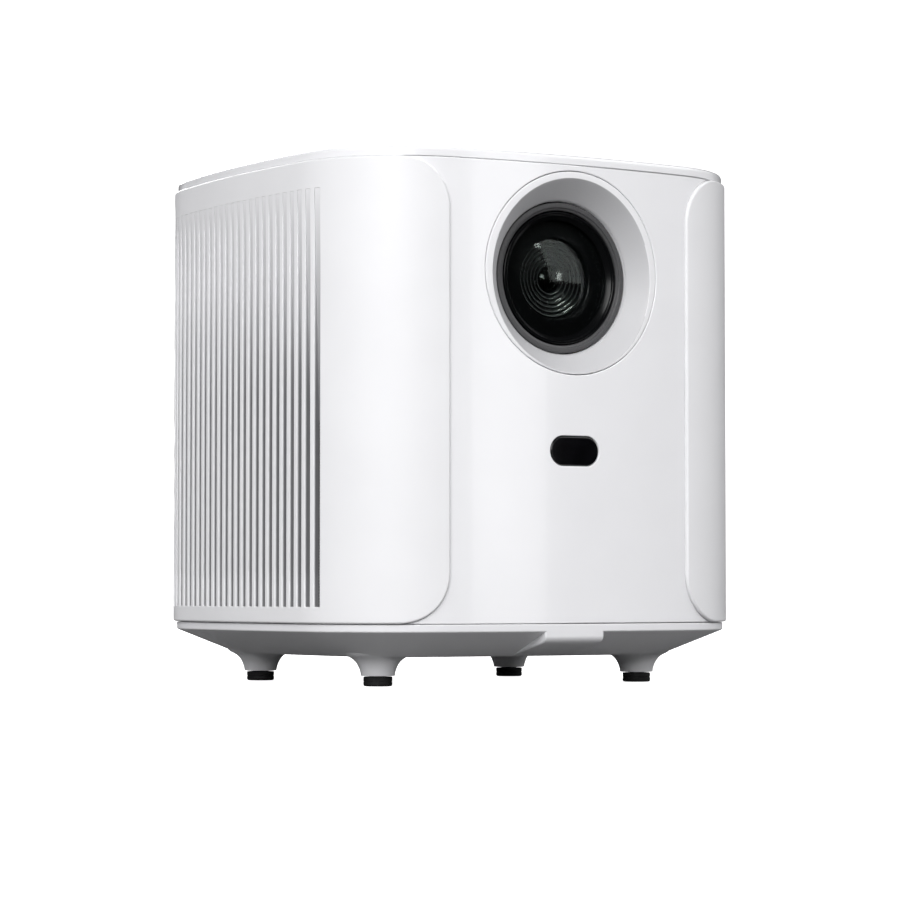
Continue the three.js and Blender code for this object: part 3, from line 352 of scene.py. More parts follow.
def fill(loops, grid):
    """Triangles inside the first loop and outside the others, with extra points from a grid."""
    points = np.concatenate([*loops, grid]) if len(grid) else np.concatenate(loops)
    edges, start = [], 0
    for loop in loops:
        count = len(loop)
        edges += [(start + i, start + (i + 1) % count) for i in range(count)]
        start += count
    made = delaunay_2d_cdt([Vector(p) for p in points], edges, [], 0, 1e-7, True)
    source = [ids[0] if ids else -1 for ids in made[3]]
    faces = np.array([[source[i] for i in face] for face in made[2]])
    middle = points[faces].mean(1)
    inside = np.zeros(len(faces), bool)
    for a, b in edges:
        (ax, ay), (bx, by) = points[a], points[b]
        if ay == by:
            continue
        spans = (middle[:, 1] >= min(ay, by)) & (middle[:, 1] < max(ay, by))
        at = ax + (middle[:, 1] - ay) / (by - ay) * (bx - ax)
        inside ^= spans & (middle[:, 0] < at)
    return points, faces[inside]


def grid_points(loops, step_s, step_z, margin, keep=None):
    """Points on a grid over the first loop that stay clear of every loop's own points."""
    low, high = loops[0].min(0), loops[0].max(0)
    s = np.arange(low[0] + step_s / 2, high[0], step_s)
    z = np.arange(low[1] + step_z / 2, high[1], step_z)
    grid = np.array([(a, b) for a in s for b in z])
    if keep is not None:
        grid = grid[keep(grid)]
    edge_points = np.concatenate(loops)
    nearest = np.min(np.linalg.norm(grid[:, None] - edge_points[None], axis=2), axis=1)
    return grid[nearest > margin]


class Panel:
    """A closed curved panel that follows the outline, with a round rim. (s, z) runs over its face and
    depth goes inwards from it. Each point also holds its share of the painted shade that greys the
    slots."""

    def __init__(self, inset):
        self.inset = inset
        self.points, self.along, self.normals, self.slot_shades = [], [], [], []
        self.faces, self.kinds = [], []

    def add(self, sz, depth, tilt=0.0, side=None, slot_shade=0.0):
        """Adds points. Their normal leans by tilt from the face's towards side. The last argument is
        how much of the slots' painted shade they take, from 0 to 1."""
        sz = np.asarray(sz, float)
        depth = np.broadcast_to(np.asarray(depth, float), len(sz))
        xy, n = plan(sz[:, 0], self.inset)
        n3 = np.column_stack([n, np.zeros(len(sz))])
        place = np.column_stack([xy, sz[:, 1]]) - n3 * depth[:, None]
        lean = n3 if side is None else n3 * math.cos(tilt) + side * math.sin(tilt)
        start = len(self.points)
        self.points += list(place)
        self.along += list(n3)
        self.normals += list(lean)
        self.slot_shades += list(np.broadcast_to(slot_shade, len(sz)))
        return np.arange(start, start + len(sz))

    def join(self, a, b, kind="face", closed=True):
        count = len(a) if closed else len(a) - 1
        for i in range(count):
            j = (i + 1) % len(a)
            self.faces.append([a[i], a[j], b[j], b[i]])
            self.kinds.append(kind)

    def skin(self, loops, indices, grid, depth, kind):
        """Triangles between rings that are already there and new grid points."""
        _, triangles = fill(loops, grid)
        added = [self.add(grid, depth)] if len(grid) else []
        ids = np.concatenate([*indices, *added])
        for triangle in triangles:
            self.faces.append([int(ids[i]) for i in triangle])
            self.kinds.append(kind)

    def rim(self, loop, radius):
        """Rings of a round rim. loop(e) is the edge moved into the material by e, and radius
        may differ along it. Returns the first and the last ring, and the way out of the
        material at each point."""
        radius = np.asarray(radius, float)
        side = self.lean(loop, radius)
        rings = []
        for i in range(RIM_STEPS + 1):
            tilt = math.pi / 2 * i / RIM_STEPS
            sz = loop(radius * (1 - math.sin(tilt)))
            rings.append(self.add(sz, radius * (1 - math.cos(tilt)), tilt, side))
        for a, b in zip(rings, rings[1:]):
            self.join(a, b)
        return rings[0], rings[-1], side

    def lean(self, loop, radius):
        """Unit directions out of the material along the face, at each point of a loop."""
        ends = []
        for e in (np.zeros_like(radius), radius):
            sz = loop(e)
            xy, _ = plan(sz[:, 0], self.inset)
            ends.append(np.column_stack([xy, sz[:, 1]]))
        side = ends[0] - ends[1]
        return side / np.linalg.norm(side, axis=1)[:, None]

    def build(self, name):
        points = np.array(self.points)
        along, normals = np.array(self.along), np.array(self.normals)
        choose = {"face": normals, "back": -along, "floor": along}
        corner_normals = []
        for i, (face, kind) in enumerate(zip(self.faces, self.kinds)):
            wanted = choose[kind][face]
            a, b, c = points[face[:3]]
            if np.dot(np.cross(b - a, c - b), wanted.mean(0)) < 0:
                face = face[::-1]
                self.faces[i] = face
                wanted = wanted[::-1]
            corner_normals += wanted.tolist()
        obj = new_object(name, points, [[int(v) for v in face] for face in self.faces])
        obj.data.shade_smooth()
        obj.data.normals_split_custom_set(corner_normals)
        slot_shade_layer = obj.data.attributes.new("shade", "FLOAT", "POINT")
        slot_shade_layer.data.foreach_set("value", np.array(self.slot_shades, np.float32))
        return obj


def panel(name, inset, thickness, loops, rim, step=(5.0, 20.0)):
    """A panel with plain holes. Each loop is a function of how far it moves into the material."""
    made = Panel(inset)
    flat, first, backs, back_rings = [], [], [], []
    for loop in loops:
        count = len(loop(np.zeros(1)))
        radius = np.full(count, rim)
        top, low, side = made.rim(loop, radius)
        edge = loop(np.zeros(count))
        bottom = made.add(edge, thickness, math.pi / 2, side)
        made.join(low, bottom)
        flat.append(loop(radius))
        first.append(top)
        backs.append(edge)
        back_rings.append(bottom)
    grid = grid_points(flat, *step, margin=1.2)
    made.skin(flat, first, grid, 0.0, "face")
    grid = grid_points(backs, *step, margin=1.2)
    made.skin(backs, back_rings, grid, thickness, "back")
    return made.build(name)


def end_panel_loop(to_s):
    """Edge of the front or rear panel, which the round corners of the side panels cut into."""
    arc_x = SEAM_X + PANEL_CORNER
    low_z, high_z = PANEL_BOTTOM + PANEL_CORNER, PANEL_TOP - PANEL_CORNER

    def loop(e):
        e = float(np.max(e))
        radius = PANEL_CORNER + SEAM + e
        last = math.asin((PANEL_CORNER - e) / radius)
        theta = np.linspace(0, last, 16)
        x_arc = arc_x - radius * np.cos(theta)
        rise = radius * np.sin(theta)
        tip = x_arc[-1]
        level = np.linspace(tip, -tip, 40)[1:-1]
        upright = np.linspace(low_z, high_z, 10)[1:-1]
        near = arc_x - radius
        right = [
            *zip(x_arc[::-1], low_z - rise[::-1]),
            *[(near, z) for z in upright],
            *zip(x_arc, high_z + rise),
        ]
        top = [(x, PANEL_TOP - e) for x in level]
        left = [(-x, z) for x, z in reversed(right)]
        bottom = [(-x, PANEL_BOTTOM + e) for x in level]
        points = np.array(right + top + left + bottom)
        points[:, 0] = to_s(points[:, 0], STEP)
        return points

    return loop


def shape_loop(outline, to_s, inset=STEP, into=1.0):
    """A loop for a closed shape seen from the front: outline(margin) grows with margin. into is
    1 for a hole and -1 for the outer edge of a piece."""
    def loop(e):
        points = np.array(outline(into * float(np.max(e))), float)
        points[:, 0] = to_s(points[:, 0], inset)
        return points

    return loop


def circle(centre, radius, count):
    angles = np.linspace(0, 2 * math.pi, count, endpoint=False)
    return np.column_stack([centre[0] + radius * np.sin(angles), centre[1] + radius * np.cos(angles)])


def grown_rectangle(low, high, radius, steps=6):
    low, high = np.array(low), np.array(high)
    return lambda m: rounded_rectangle(low - m, high + m, radius + m, steps)


# ---- slotted side panels --------------------------------------------------------------

SLOT_COUNT = 25
SLOT_PITCH = 5.37
SLOT_WIDTH = 2.9
SLOT_BOTTOM = 33
SLOT_TOP = 204
SLOT_DEPTH = 5
SHALLOWEST = 0.02
LIP = 0.45
SLOT_DRAFT = -0.1  # the walls of a slot close in by this much towards the floor
ROWS_OPEN = 6  # rows of points up to where a slot stops going right through
ROWS_BLIND = 10
SIDE_RIM = 0.9
SHADE_RUN = 0.5  # how far below the lip the walls reach their full painted shade
SHADE_FULL = 2.4  # the slot depth from which they do


def slot_depth(z):
    share = (SLOT_TOP - z) / (SLOT_TOP - SLOT_BOTTOM)
    return SHALLOWEST + (SLOT_DEPTH - SHALLOWEST) * share


def side_panel(name, side):
    made = Panel(0.0)
    turn = -side  # s grows towards the left

    def edge(e):
        e = float(np.max(e))
        radius = PANEL_CORNER - e
        theta = np.linspace(0, math.pi / 2, 14)
        low_z, high_z = PANEL_BOTTOM + PANEL_CORNER, PANEL_TOP - PANEL_CORNER
        x = -(SEAM_X + PANEL_CORNER - radius * np.cos(theta))
        s_arc = front_s(x)
        drop = radius * np.sin(theta)
        upright = np.linspace(low_z, high_z, 10)[1:-1]
        level = np.linspace(s_arc[-1], 2 * QUARTER - s_arc[-1], 64)[1:-1]
        front = [
            *zip(s_arc[::-1], low_z - drop[::-1]),
            *[(s_arc[0], z) for z in upright],
            *zip(s_arc, high_z + drop),
        ]
        top = [(s, PANEL_TOP - e) for s in level]
        rear = [(2 * QUARTER - s, z) for s, z in reversed(front)]
        bottom = [(2 * QUARTER - s, PANEL_BOTTOM + e) for s in level]
        points = np.array(front + top + rear + bottom)
        points[:, 0] *= turn
        return points

    count = len(edge(0.0))
    top, low, lean = made.rim(edge, np.full(count, SIDE_RIM))
    bottom = made.add(edge(0.0), SIDE_THICKNESS, math.pi / 2, lean)
    made.join(low, bottom)
    flat, first = [edge(SIDE_RIM)], [top]
    backs, back_rings = [edge(0.0)], [bottom]

    # The row where a slot stops going right through.
    closing = SLOT_TOP - (SLOT_TOP - SLOT_BOTTOM) * (SIDE_THICKNESS - SHALLOWEST) / (
        SLOT_DEPTH - SHALLOWEST
    )
    rows = np.concatenate([
        np.linspace(SLOT_BOTTOM, closing, ROWS_OPEN),
        np.linspace(closing, SLOT_TOP, ROWS_BLIND)[1:],
    ])
    depth = np.minimum(slot_depth(rows), SIDE_THICKNESS)
    lips = np.minimum(LIP, 0.45 * depth)
    both_lips = np.concatenate([lips, lips[::-1]])
    both_depths = np.concatenate([depth, depth[::-1]])
    both_full = slot_depth(np.concatenate([rows, rows[::-1]]))
    wall_marks = np.minimum(0.95 * both_depths, both_lips + SHADE_RUN)
    # Painted shade: slot walls turn grey below the lip, more in deeper slots.
    slot_shade = np.minimum(1, both_full / SHADE_FULL) ** 0.75
    for i in range(SLOT_COUNT):
        y = (i - (SLOT_COUNT - 1) / 2) * SLOT_PITCH

        def loop(e, y=y):
            e = np.broadcast_to(e, 2 * len(rows))
            up, down = e[: len(rows)], e[len(rows):]
            z_up, z_down = rows.copy(), rows[::-1].copy()
            z_up[0] -= up[0]
            z_up[-1] += up[-1]
            z_down[0] += down[0]
            z_down[-1] -= down[-1]
            s_up = left_s(y - SLOT_WIDTH / 2 - up)
            s_down = left_s(y + SLOT_WIDTH / 2 + down)
            s, z = np.concatenate([s_up, s_down]), np.concatenate([z_up, z_down])
            return np.column_stack([turn * s, z])

        ring, wall_top, lean = made.rim(loop, both_lips)
        wall_mark = made.add(loop(SLOT_DRAFT / 3), wall_marks, math.pi / 2, lean, slot_shade)
        made.join(wall_top, wall_mark)
        wall_low = made.add(loop(SLOT_DRAFT), both_depths, math.pi / 2, lean, slot_shade)
        made.join(wall_mark, wall_low)
        up, down = wall_low[: len(rows)], wall_low[len(rows):][::-1]
        made.join(up[ROWS_OPEN - 1:], down[ROWS_OPEN - 1:], "floor", closed=False)
        flat.append(loop(both_lips))
        first.append(ring)
        opening = np.concatenate([up[:ROWS_OPEN], down[:ROWS_OPEN][::-1]])
        all_low = loop(SLOT_DRAFT)
        low_up, low_down = all_low[: len(rows)], all_low[len(rows):][::-1]
        backs.append(np.concatenate([low_up[:ROWS_OPEN], low_down[:ROWS_OPEN][::-1]]))
        back_rings.append(opening)

    reach = SLOT_PITCH * SLOT_COUNT / 2 + 1.5
    middle = turn * QUARTER

    def clear_of_slots(grid):
        beside = np.abs(grid[:, 0] - middle) > reach
        above = (grid[:, 1] > SLOT_TOP + 4) | (grid[:, 1] < SLOT_BOTTOM - 3)
        return beside | above

    grid = grid_points(flat[:1], 4.0, 16.0, 1.5, clear_of_slots)
    made.skin(flat, first, grid, 0.0, "face")
    grid = grid_points(backs[:1], 6.0, 20.0, 2.0, clear_of_slots)
    made.skin(backs, back_rings, grid, SIDE_THICKNESS, "back")
    return made.build(name)


# ---- front and rear -------------------------------------------------------------------

WINDOW_HALF = (window_high - window_low) / 2
window_middle = (window_high + window_low) / 2
BEZEL_OUTER = 42.1
BEZEL_Z = 171.0
CONE_RADIUS = 40.4
CONE_END = 32.0


def front_panel():
    hole = lambda m: circle((0, BEZEL_Z), BEZEL_OUTER + GAP + m, 128)
    low = np.array([-WINDOW_HALF[0], window_middle[2] - WINDOW_HALF[2]]) - GAP
    high = np.array([WINDOW_HALF[0], window_middle[2] + WINDOW_HALF[2]]) + GAP
    loops = [
        end_panel_loop(front_s),
        shape_loop(hole, front_s),
        shape_loop(grown_rectangle(low, high, WINDOW_HALF[2] + GAP - 0.02, 12), front_s),
    ]
    return panel("front_panel_shell", STEP, WALL, loops, 0.45)


def sensor_window():
    low = np.array([-WINDOW_HALF[0], window_middle[2] - WINDOW_HALF[2]])
    high = np.array([WINDOW_HALF[0], window_middle[2] + WINDOW_HALF[2]])
    shape = grown_rectangle(low, high, WINDOW_HALF[2] - 0.02, 14)
    loops = [shape_loop(shape, front_s, STEP + 0.2, into=-1.0)]
    return panel("sensor_window_lens", STEP + 0.2, WALL - 0.2, loops, 0.5, (3.0, 3.0))


SOCKETS = ["power_inlet", "hdmi_socket", "usb_socket", "audio_socket"]
SOCKET_CORNER = 0.6
GRILLE_RADIUS = 37
GRILLE_PITCH = 6.2
GRILLE_HALF = 1.8  # half the width of one opening


def rear_panel():
    fan_low, fan_high = box_mm("exhaust_fan_frame")
    fan_z = (fan_low[2] + fan_high[2]) / 2
    loops = [end_panel_loop(rear_s)]
    for i in range(-5, 6):
        x = i * GRILLE_PITCH
        half = math.sqrt(GRILLE_RADIUS**2 - x**2)
        low = (x - GRILLE_HALF, fan_z - half)
        high = (x + GRILLE_HALF, fan_z + half)
        shape = grown_rectangle(low, high, GRILLE_HALF - 0.05, 4)
        loops.append(shape_loop(shape, rear_s))
    for node in SOCKETS:
        low, high = box_mm(node)
        shape = grown_rectangle(
            (low[0] - GAP, low[2] - GAP), (high[0] + GAP, high[2] + GAP), SOCKET_CORNER, 3
        )
        loops.append(shape_loop(shape, rear_s))
    return panel("rear_panel_shell", STEP, WALL, loops, 0.4)


# ---- lid and base ---------------------------------------------------------------------

def outline_ring(inset, z):
    """One ring round the case. Points are closer together on the corners."""
    quarter = np.concatenate([
        np.linspace(0, FRONT_RUN, 11)[:-1],
        np.linspace(FRONT_RUN, FRONT_RUN + CORNER_RUN, 32)[:-1],
        np.linspace(FRONT_RUN + CORNER_RUN, QUARTER, 12)[:-1],
    ])
    back = np.concatenate([quarter[1:], [QUARTER]])[::-1]
    s = np.concatenate([quarter, 2 * QUARTER - back, 2 * QUARTER + quarter, 4 * QUARTER - back])
    xy, _ = plan(s, inset)
    return np.column_stack([xy, np.full(len(s), z)])


BUTTON_Y = (button_low[1] + button_high[1]) / 2
HANGER_X = 13
HANGER_LOW = 207.9


def top_cover():
    top, bottom = cap_high[2], side_high[2] + LID_SEAM
    skirt_out, skirt_in = STEP + WALL + 0.5, STEP + WALL + 2.5
    skirt_low = bottom - 2.4
    profile = [
        (skirt_in, bottom), (skirt_in, skirt_low), (skirt_out, skirt_low), (skirt_out, bottom),
        (STEP + 0.3, bottom), (STEP, bottom + 0.3),
    ]
    profile += fillet_profile((STEP, top), (0, -1), (1, 0), 1.7, 6)
    profile += [(STEP + 8, top)]
    rings = [outline_ring(inset, z) for inset, z in profile]
    obj = solid("top_cover_shell", ringed(rings, closed=False, capped=True))
    # Two posts carry the button's board, and the button stands in a round hole.
    post = [(0, HANGER_LOW), (2.2, HANGER_LOW), (2.2, bottom + 1), (0, bottom + 1)]
    for x in (-HANGER_X, HANGER_X):
        boolean(obj, solid("post", lathe(post, "z", (x, BUTTON_Y, 0), 24)), "UNION")
    hole = [
        (0, bottom - 4), (9.4, bottom - 4), (9.4, top - 0.5), (9.55, top - 0.2), (9.9, top),
        (9.9, top + 2), (0, top + 2),
    ]
    boolean(obj, solid("hole", lathe(hole, "z", (0, BUTTON_Y, 0), 72)), "DIFFERENCE")
    return shade(obj)


def power_button():
    low, high = button_low[2], button_high[2]
    profile = [
        (0, low), (3, low), (3, low + 0.4), (10.5, low + 0.4), (10.5, low + 1.8), (9, low + 1.8),
        (9, high - 0.9), (8.93, high - 0.55), (8.7, high - 0.2), (8.3, high - 0.04), (7.9, high),
        (7.5, high - 0.03), (6.5, high - 0.22), (4.5, high - 0.45), (2.5, high - 0.58),
        (0, high - 0.62),
    ]
    return shade(solid("power_button_cap", lathe(profile, "z", (0, BUTTON_Y, 0), 72)))


def leg(x, y):
    """A round leg that flares into the underside, where the case slopes up."""
    plate = PLATE_Z
    profile = [
        (0, 4.3), (6.7, 4.3), (6.95, 4.36), (7.1, 4.6), (7.25, 5.6), (7.6, 6.8), (8.05, 8.0),
        (8.7, 9.2), (9.5, 10.3), (10.5, 11.2), (11.6, 11.9), (12.6, plate + 0.15),
        (13.5, plate + 0.6), (14.3, plate + 1.3), (14.9, plate + 2.2), (15.2, plate + 3.2),
        (0, plate + 3.2),
    ]
    return lathe(profile, "z", (x, y, 0), 64)


FOOT_PADS = {
    "foot_pad_front_left": (-1, -1), "foot_pad_front_right": (1, -1),
    "foot_pad_rear_left": (-1, 1), "foot_pad_rear_right": (1, 1),
}


def foot_place(node):
    low, high = box_mm(node)
    return (low + high) / 2


BOSS_HALF = 14.5
BOSS_EDGE = 0.9


def front_boss():
    """Moulded block under the middle of the front edge. Its face follows the bow of the case."""
    plate = PLATE_Z
    lower = np.array([
        (0.05, 24.2), (0.05, 20.9), (0.2, 20.2), (0.55, 19.5), (1.1, 18.9), (1.8, 18.4),
        (2.8, 17.95), (4.2, 17.5), (6.0, 17.05), (CHAMFER_RUN + 1, plate + 0.05),
    ])
    inner = np.array([(CHAMFER_RUN + 1, plate + 1.5), (2.0, 24.9), (1.2, 24.9)])
    tangent = np.gradient(lower, axis=0)
    inward = np.column_stack([-tangent[:, 1], tangent[:, 0]])
    inward /= np.linalg.norm(inward, axis=1)[:, None]
    turns = np.linspace(0, math.pi / 2, 5)
    ends = [
        (BOSS_HALF - BOSS_EDGE * (1 - math.cos(a)), BOSS_EDGE * (1 - math.sin(a))) for a in turns
    ]
    stations = [(-x, shrink) for x, shrink in ends]
    stations += [(x, 0) for x in (-9, -4.5, 0, 4.5, 9)] + ends[::-1]
    rings = []
    for x, shrink in stations:
        section = np.concatenate([lower + inward * shrink, inner])
        rings.append(np.array([(x, face_y(x) + y, z) for y, z in section]))
    return solid("boss", ringed(rings, closed=False, capped=True))


# Where each cut for a base screw starts. The front ones stay under the sloping skin.
SCREW_START = {-1: 18.2, 1: 5}
VENTS = (-3, -2, -1, 1, 2, 3)
VENT_PITCH = 11


def base_pan():
    plate, rim_top, band = PLATE_Z, 25.9, 22.8
    inner, run = STEP + WALL, CHAMFER_RUN
    slope = (band - plate) / run
    profile = [
        (inner + run, plate + WALL), (inner, band + WALL - 0.3), (inner, rim_top),
        (STEP + 0.3, rim_top), (STEP, rim_top - 0.3), (STEP, band + 0.5),
        (STEP + 0.08, band + 0.2), (STEP + 0.35, band - 0.12),
    ]
    profile += [(STEP + d, band - d * slope) for d in (1.0, 6.0, 12.0, 18.0, run - 2.5)]
    profile += [
        (STEP + run - 1.0, plate + 0.5), (STEP + run + 0.3, plate + 0.1), (STEP + run + 2.0, plate),
    ]
    rings = [outline_ring(inset, z) for inset, z in profile]
    obj = solid("base_pan_shell", ringed(rings, closed=False, capped=True))

    feet = [foot_place(node) for node in FOOT_PADS]
    corners = [(sx * POST_X, sy * POST_Y, 0) for sx, sy in FOOT_PADS.values()]
    boolean(obj, solid("legs", *[leg(x, y) for x, y, _ in feet]), "UNION")
    boolean(obj, front_boss(), "UNION")
    post = [(0, 19), (6, 19), (6, PANEL_BOTTOM), (0, PANEL_BOTTOM)]
    boolean(obj, solid("posts", *[lathe(post, "z", place, 24) for place in corners]), "UNION")

    pin_hole = [(0, 0), (3.8, 0), (3.8, 9.2), (0, 9.2)]
    cuts = [lathe(pin_hole, "z", (x, y, 0), 32) for x, y, _ in feet]
    for place, (_, sy) in zip(corners, FOOT_PADS.values()):
        start = SCREW_START[sy]
        recess = [(0, start), (3.5, start), (3.5, 20.6), (1.9, 20.6), (1.9, 30), (0, 30)]
        cuts.append(lathe(recess, "z", place, 32))
    for i in VENTS:
        x = i * VENT_PITCH
        vent = rounded_rectangle((x - 1.6, 22), (x + 1.6, 62), 1.55)
        cuts.append(prism(vent, "z", plate - 1, plate + WALL + 1))
    tripod_hole = [(0, 5), (6.3, 5), (6.3, 40), (0, 40)]
    cuts.append(lathe(tripod_hole, "z", (0, 0, 0), 48))
    boolean(obj, solid("cuts", *cuts), "DIFFERENCE")
    return shade(obj, 28)


def foot_pad(node):
    x, y, _ = foot_place(node)
    profile = [
        (0, 0), (5.2, 0), (5.5, 0.06), (5.8, 0.25), (5.95, 0.6), (6, 1.0), (6, 1.7), (5.88, 1.85),
        (5.88, 2.15), (6, 2.3), (6, 3.7), (5.9, 3.92), (5.7, 4.0), (3.5, 4), (3.5, 8.8), (0, 8.8),
    ]
    return shade(solid(node + "_rubber", lathe(profile, "z", (x, y, 0), 48)))


# ---- lens -----------------------------------------------------------------------------

lens_centre = (0, 0, LENS_Z)
PIN_Y = -67  # the cell's three pins, and the middle of the housing's slots for them
PIN_ANGLES = (0, 120, 240)


def lens_bezel():
    """Round surround whose rim lies in the bowed face, with a cone that narrows to the lens."""
    angles = np.linspace(0, 2 * math.pi, 160, endpoint=False)
    sin, cos = np.sin(angles), np.cos(angles)
    ones = np.ones_like(angles)

    def ring(radius, y, centre_z):
        radius = radius * ones
        return np.column_stack([radius * sin, y * ones, centre_z + radius * cos])

    slope = (CONE_RADIUS - CONE_END) / (LENS_FRONT - FACE_Y)
    mouth = CONE_RADIUS * ones
    for _ in range(6):
        mouth = CONE_RADIUS - slope * (face_y(mouth * sin) - FACE_Y)
    rim = 0.45
    outer = BEZEL_OUTER
    flange = np.minimum(outer + 3.4, (213.3 - BEZEL_Z) / np.maximum(cos, 0.05))
    flange = np.maximum(flange, outer + 0.1)
    back = FACE_Y + 5.3
    rings = [
        ring(36, back + 2, BEZEL_Z), ring(flange, back + 2, BEZEL_Z), ring(flange, back, BEZEL_Z),
        ring(outer, back, BEZEL_Z),
    ]
    for i in range(5):
        tilt = math.pi / 2 * (1 - i / 4)
        radius = outer - rim * (1 - math.sin(tilt))
        rings.append(ring(radius, face_y(radius * sin) + rim * (1 - math.cos(tilt)), BEZEL_Z))
    lip = 0.28
    for share in (0.35, 0.7):
        x0, z0 = (outer - rim) * sin, BEZEL_Z + (outer - rim) * cos
        x1, z1 = (mouth + lip) * sin, LENS_Z + (mouth + lip) * cos
        x, z = x0 + (x1 - x0) * share, z0 + (z1 - z0) * share
        rings.append(np.column_stack([x, face_y(x), z]))
    rings.append(ring(mouth + lip, face_y((mouth + lip) * sin), LENS_Z))
    rings.append(ring(mouth + 0.12 * lip, face_y(mouth * sin) + 0.1, LENS_Z))
    steps = 10
    for i in range(1, steps + 1):
        share = i / steps
        radius = (mouth - 0.25) * (1 - share) + CONE_END * share
        y = FACE_Y + (CONE_RADIUS - radius) / slope
        rings.append(ring(radius, y, LENS_Z))
    rings.append(ring(CONE_END, FACE_Y + 13, LENS_Z))
    rings.append(ring(36, FACE_Y + 13, LENS_Z))
    return shade(solid("lens_bezel_ring", ringed(rings)), 40)


def paint_cone(bezel):
    """The cone is a greyer, more even satin than the rim around it; its grey is painted shade for the
    recessed cone.
    """
    bezel.data.materials.append(cone_painted_shade())
    for face in bezel.data.polygons:
        out = Vector((face.center.x, 0, face.center.z - LENS_Z * MM)).normalized()
        if face.normal.dot(out) < -0.3 and face.normal.y < -0.3:
            face.material_index = 1


def lens_housing():
    rear = housing_high[1]
    outer = 31.5
    front = LENS_FRONT
    profile = [
        (29.3, front + 0.25), (29.5, front + 0.06), (29.8, front), (30.9, front), (31.25, front + 0.1),
        (31.45, front + 0.35), (outer, front + 0.7), (outer, -84), (30, -84), (30, rear - 4),
        (35, rear - 4), (35, rear), (28.2, rear), (28.2, front + 1.2), (28.5, front + 0.75),
        (29.0, front + 0.62), (29.2, front + 0.5),
    ]
    obj = solid("lens_housing_tube", lathe(profile, "y", lens_centre, 128))
    slots = []
    for degrees in PIN_ANGLES:
        points, faces = block((-1.95, PIN_Y - 4.9, 26), (1.95, PIN_Y + 4.9, 34))
        slots.append((turned_about_lens(points, degrees), faces))
    boolean(obj, solid("slots", *slots), "DIFFERENCE")
    return shade(obj)


def turned_about_lens(points, degrees):
    """Turns points given as (across, y, outwards) round the lens axis."""
    angle = math.radians(degrees)
    across, y, out = points.T
    x = out * math.sin(angle) + across * math.cos(angle)
    z = out * math.cos(angle) - across * math.sin(angle)
    return np.column_stack([x, y, LENS_Z + z])


GLASS_EDGE = (glass_high[0] - glass_low[0]) / 2
GLASS_RIM = LENS_FRONT + 3.9
RETAINER = 17.2  # round opening behind the front glass
FUNNEL_REAR = GLASS_RIM + 7.3
FUNNEL_INNER = 5.3
RIB_COUNT = 6
RIB_PITCH = 1.85
RIB_HEIGHT = 0.45
RIB_STEPS = 8


def focus_cell():
    """Black barrel. A lip holds the front glass, and a round opening lies behind it."""
    outer, front = 27.7, LENS_FRONT + 0.8
    seat, lip, bore = GLASS_RIM + 2.3, GLASS_RIM - 0.35, GLASS_EDGE + 0.3
    profile = [
        (26.5, front + 0.15), (26.65, front), (27.3, front), (27.6, front + 0.15),
        (outer, front + 0.5), (outer, -48), (22, -48), (22, -56), (15, -58), (15, FUNNEL_REAR),
        (RETAINER, FUNNEL_REAR), (RETAINER, seat - 1.1), (RETAINER + 0.15, seat - 1.25),
        (RETAINER + 0.5, seat - 1.2), (20.5, seat), (bore, seat), (bore, lip), (bore - 0.75, lip),
        (bore - 0.85, lip - 0.15), (bore - 0.75, lip - 0.4), (26.2, front + 1.5),
        (26.45, front + 1.2),
    ]
    body = solid("focus_cell_barrel", lathe(profile, "y", lens_centre, 128))
    pins = []
    pin = [(0, 26), (1.5, 26), (1.5, 32.3), (1.2, 32.6), (0, 32.6)]
    for degrees in PIN_ANGLES:
        points, faces = lathe(pin, "z", (0, PIN_Y, 0), 20)
        pins.append((turned_about_lens(points, degrees), faces))
    boolean(body, solid("pins", *pins), "UNION")
    return shade(body, 25)


def ribbed_funnel():
    """Light trap between the second glass and the inner one: round ribs on a shallow funnel."""
    start = np.array([FUNNEL_INNER, -82.3])
    end = np.array([FUNNEL_INNER + RIB_COUNT * RIB_PITCH, -84.3])
    across = (end - start) / RIB_COUNT
    rear = FUNNEL_REAR - GAP
    profile = [(5.0, -82.0), (5.0, rear), (RETAINER - 0.1, rear), (RETAINER - 0.1, end[1])]
    for i in reversed(range(RIB_COUNT)):
        for k in reversed(range(RIB_STEPS)):
            share = k / (RIB_STEPS - 1)
            r, y = start + across * (i + 0.06 + 0.88 * share)
            profile.append((r, y - RIB_HEIGHT * math.sin(math.pi * share)))
    return shade(solid("ribbed_funnel", lathe(profile, "y", lens_centre, 128)), 60)


def front_glass():
    apex = GLASS_RIM - 3.6
    profile = [
        *dome(GLASS_EDGE - 0.15, GLASS_RIM + 2.2, apex + 2.5, 24)[::-1],
        (GLASS_EDGE, GLASS_RIM + 2.05), (GLASS_EDGE, GLASS_RIM + 0.15),
        *dome(GLASS_EDGE - 0.15, GLASS_RIM, apex, 32),
    ]
    return shade(solid("front_glass_element", lathe(profile, "y", lens_centre, 128)))


def rear_glass():
    profile = [*dome(21.6, -50, -44.5)[::-1], (21.6, -55.4), *dome(14.6, -56.2, -59, 16)]
    return shade(solid("rear_glass_element", lathe(profile, "y", lens_centre, 96)))


def second_glass():
    """Element that fills the opening behind the front glass."""
    rim = GLASS_RIM + 1.9
    profile = [
        (0, rim + 0.6), (RETAINER - 0.2, rim + 0.6),
        *dome(RETAINER - 0.35, rim + 0.2, rim - 2.6, 24),
    ]
    return shade(solid("second_glass_element", lathe(profile, "y", lens_centre, 128)))


def inner_glass():
    """Small, strongly curved element at the bottom of the ribbed funnel."""
    profile = [(0, -81.8), (4.9, -81.8), *dome(4.7, -82.6, -84.4, 20)]
    return shade(solid("inner_glass_element", lathe(profile, "y", lens_centre, 96)))


# ---- materials ------------------------------------------------------------------------


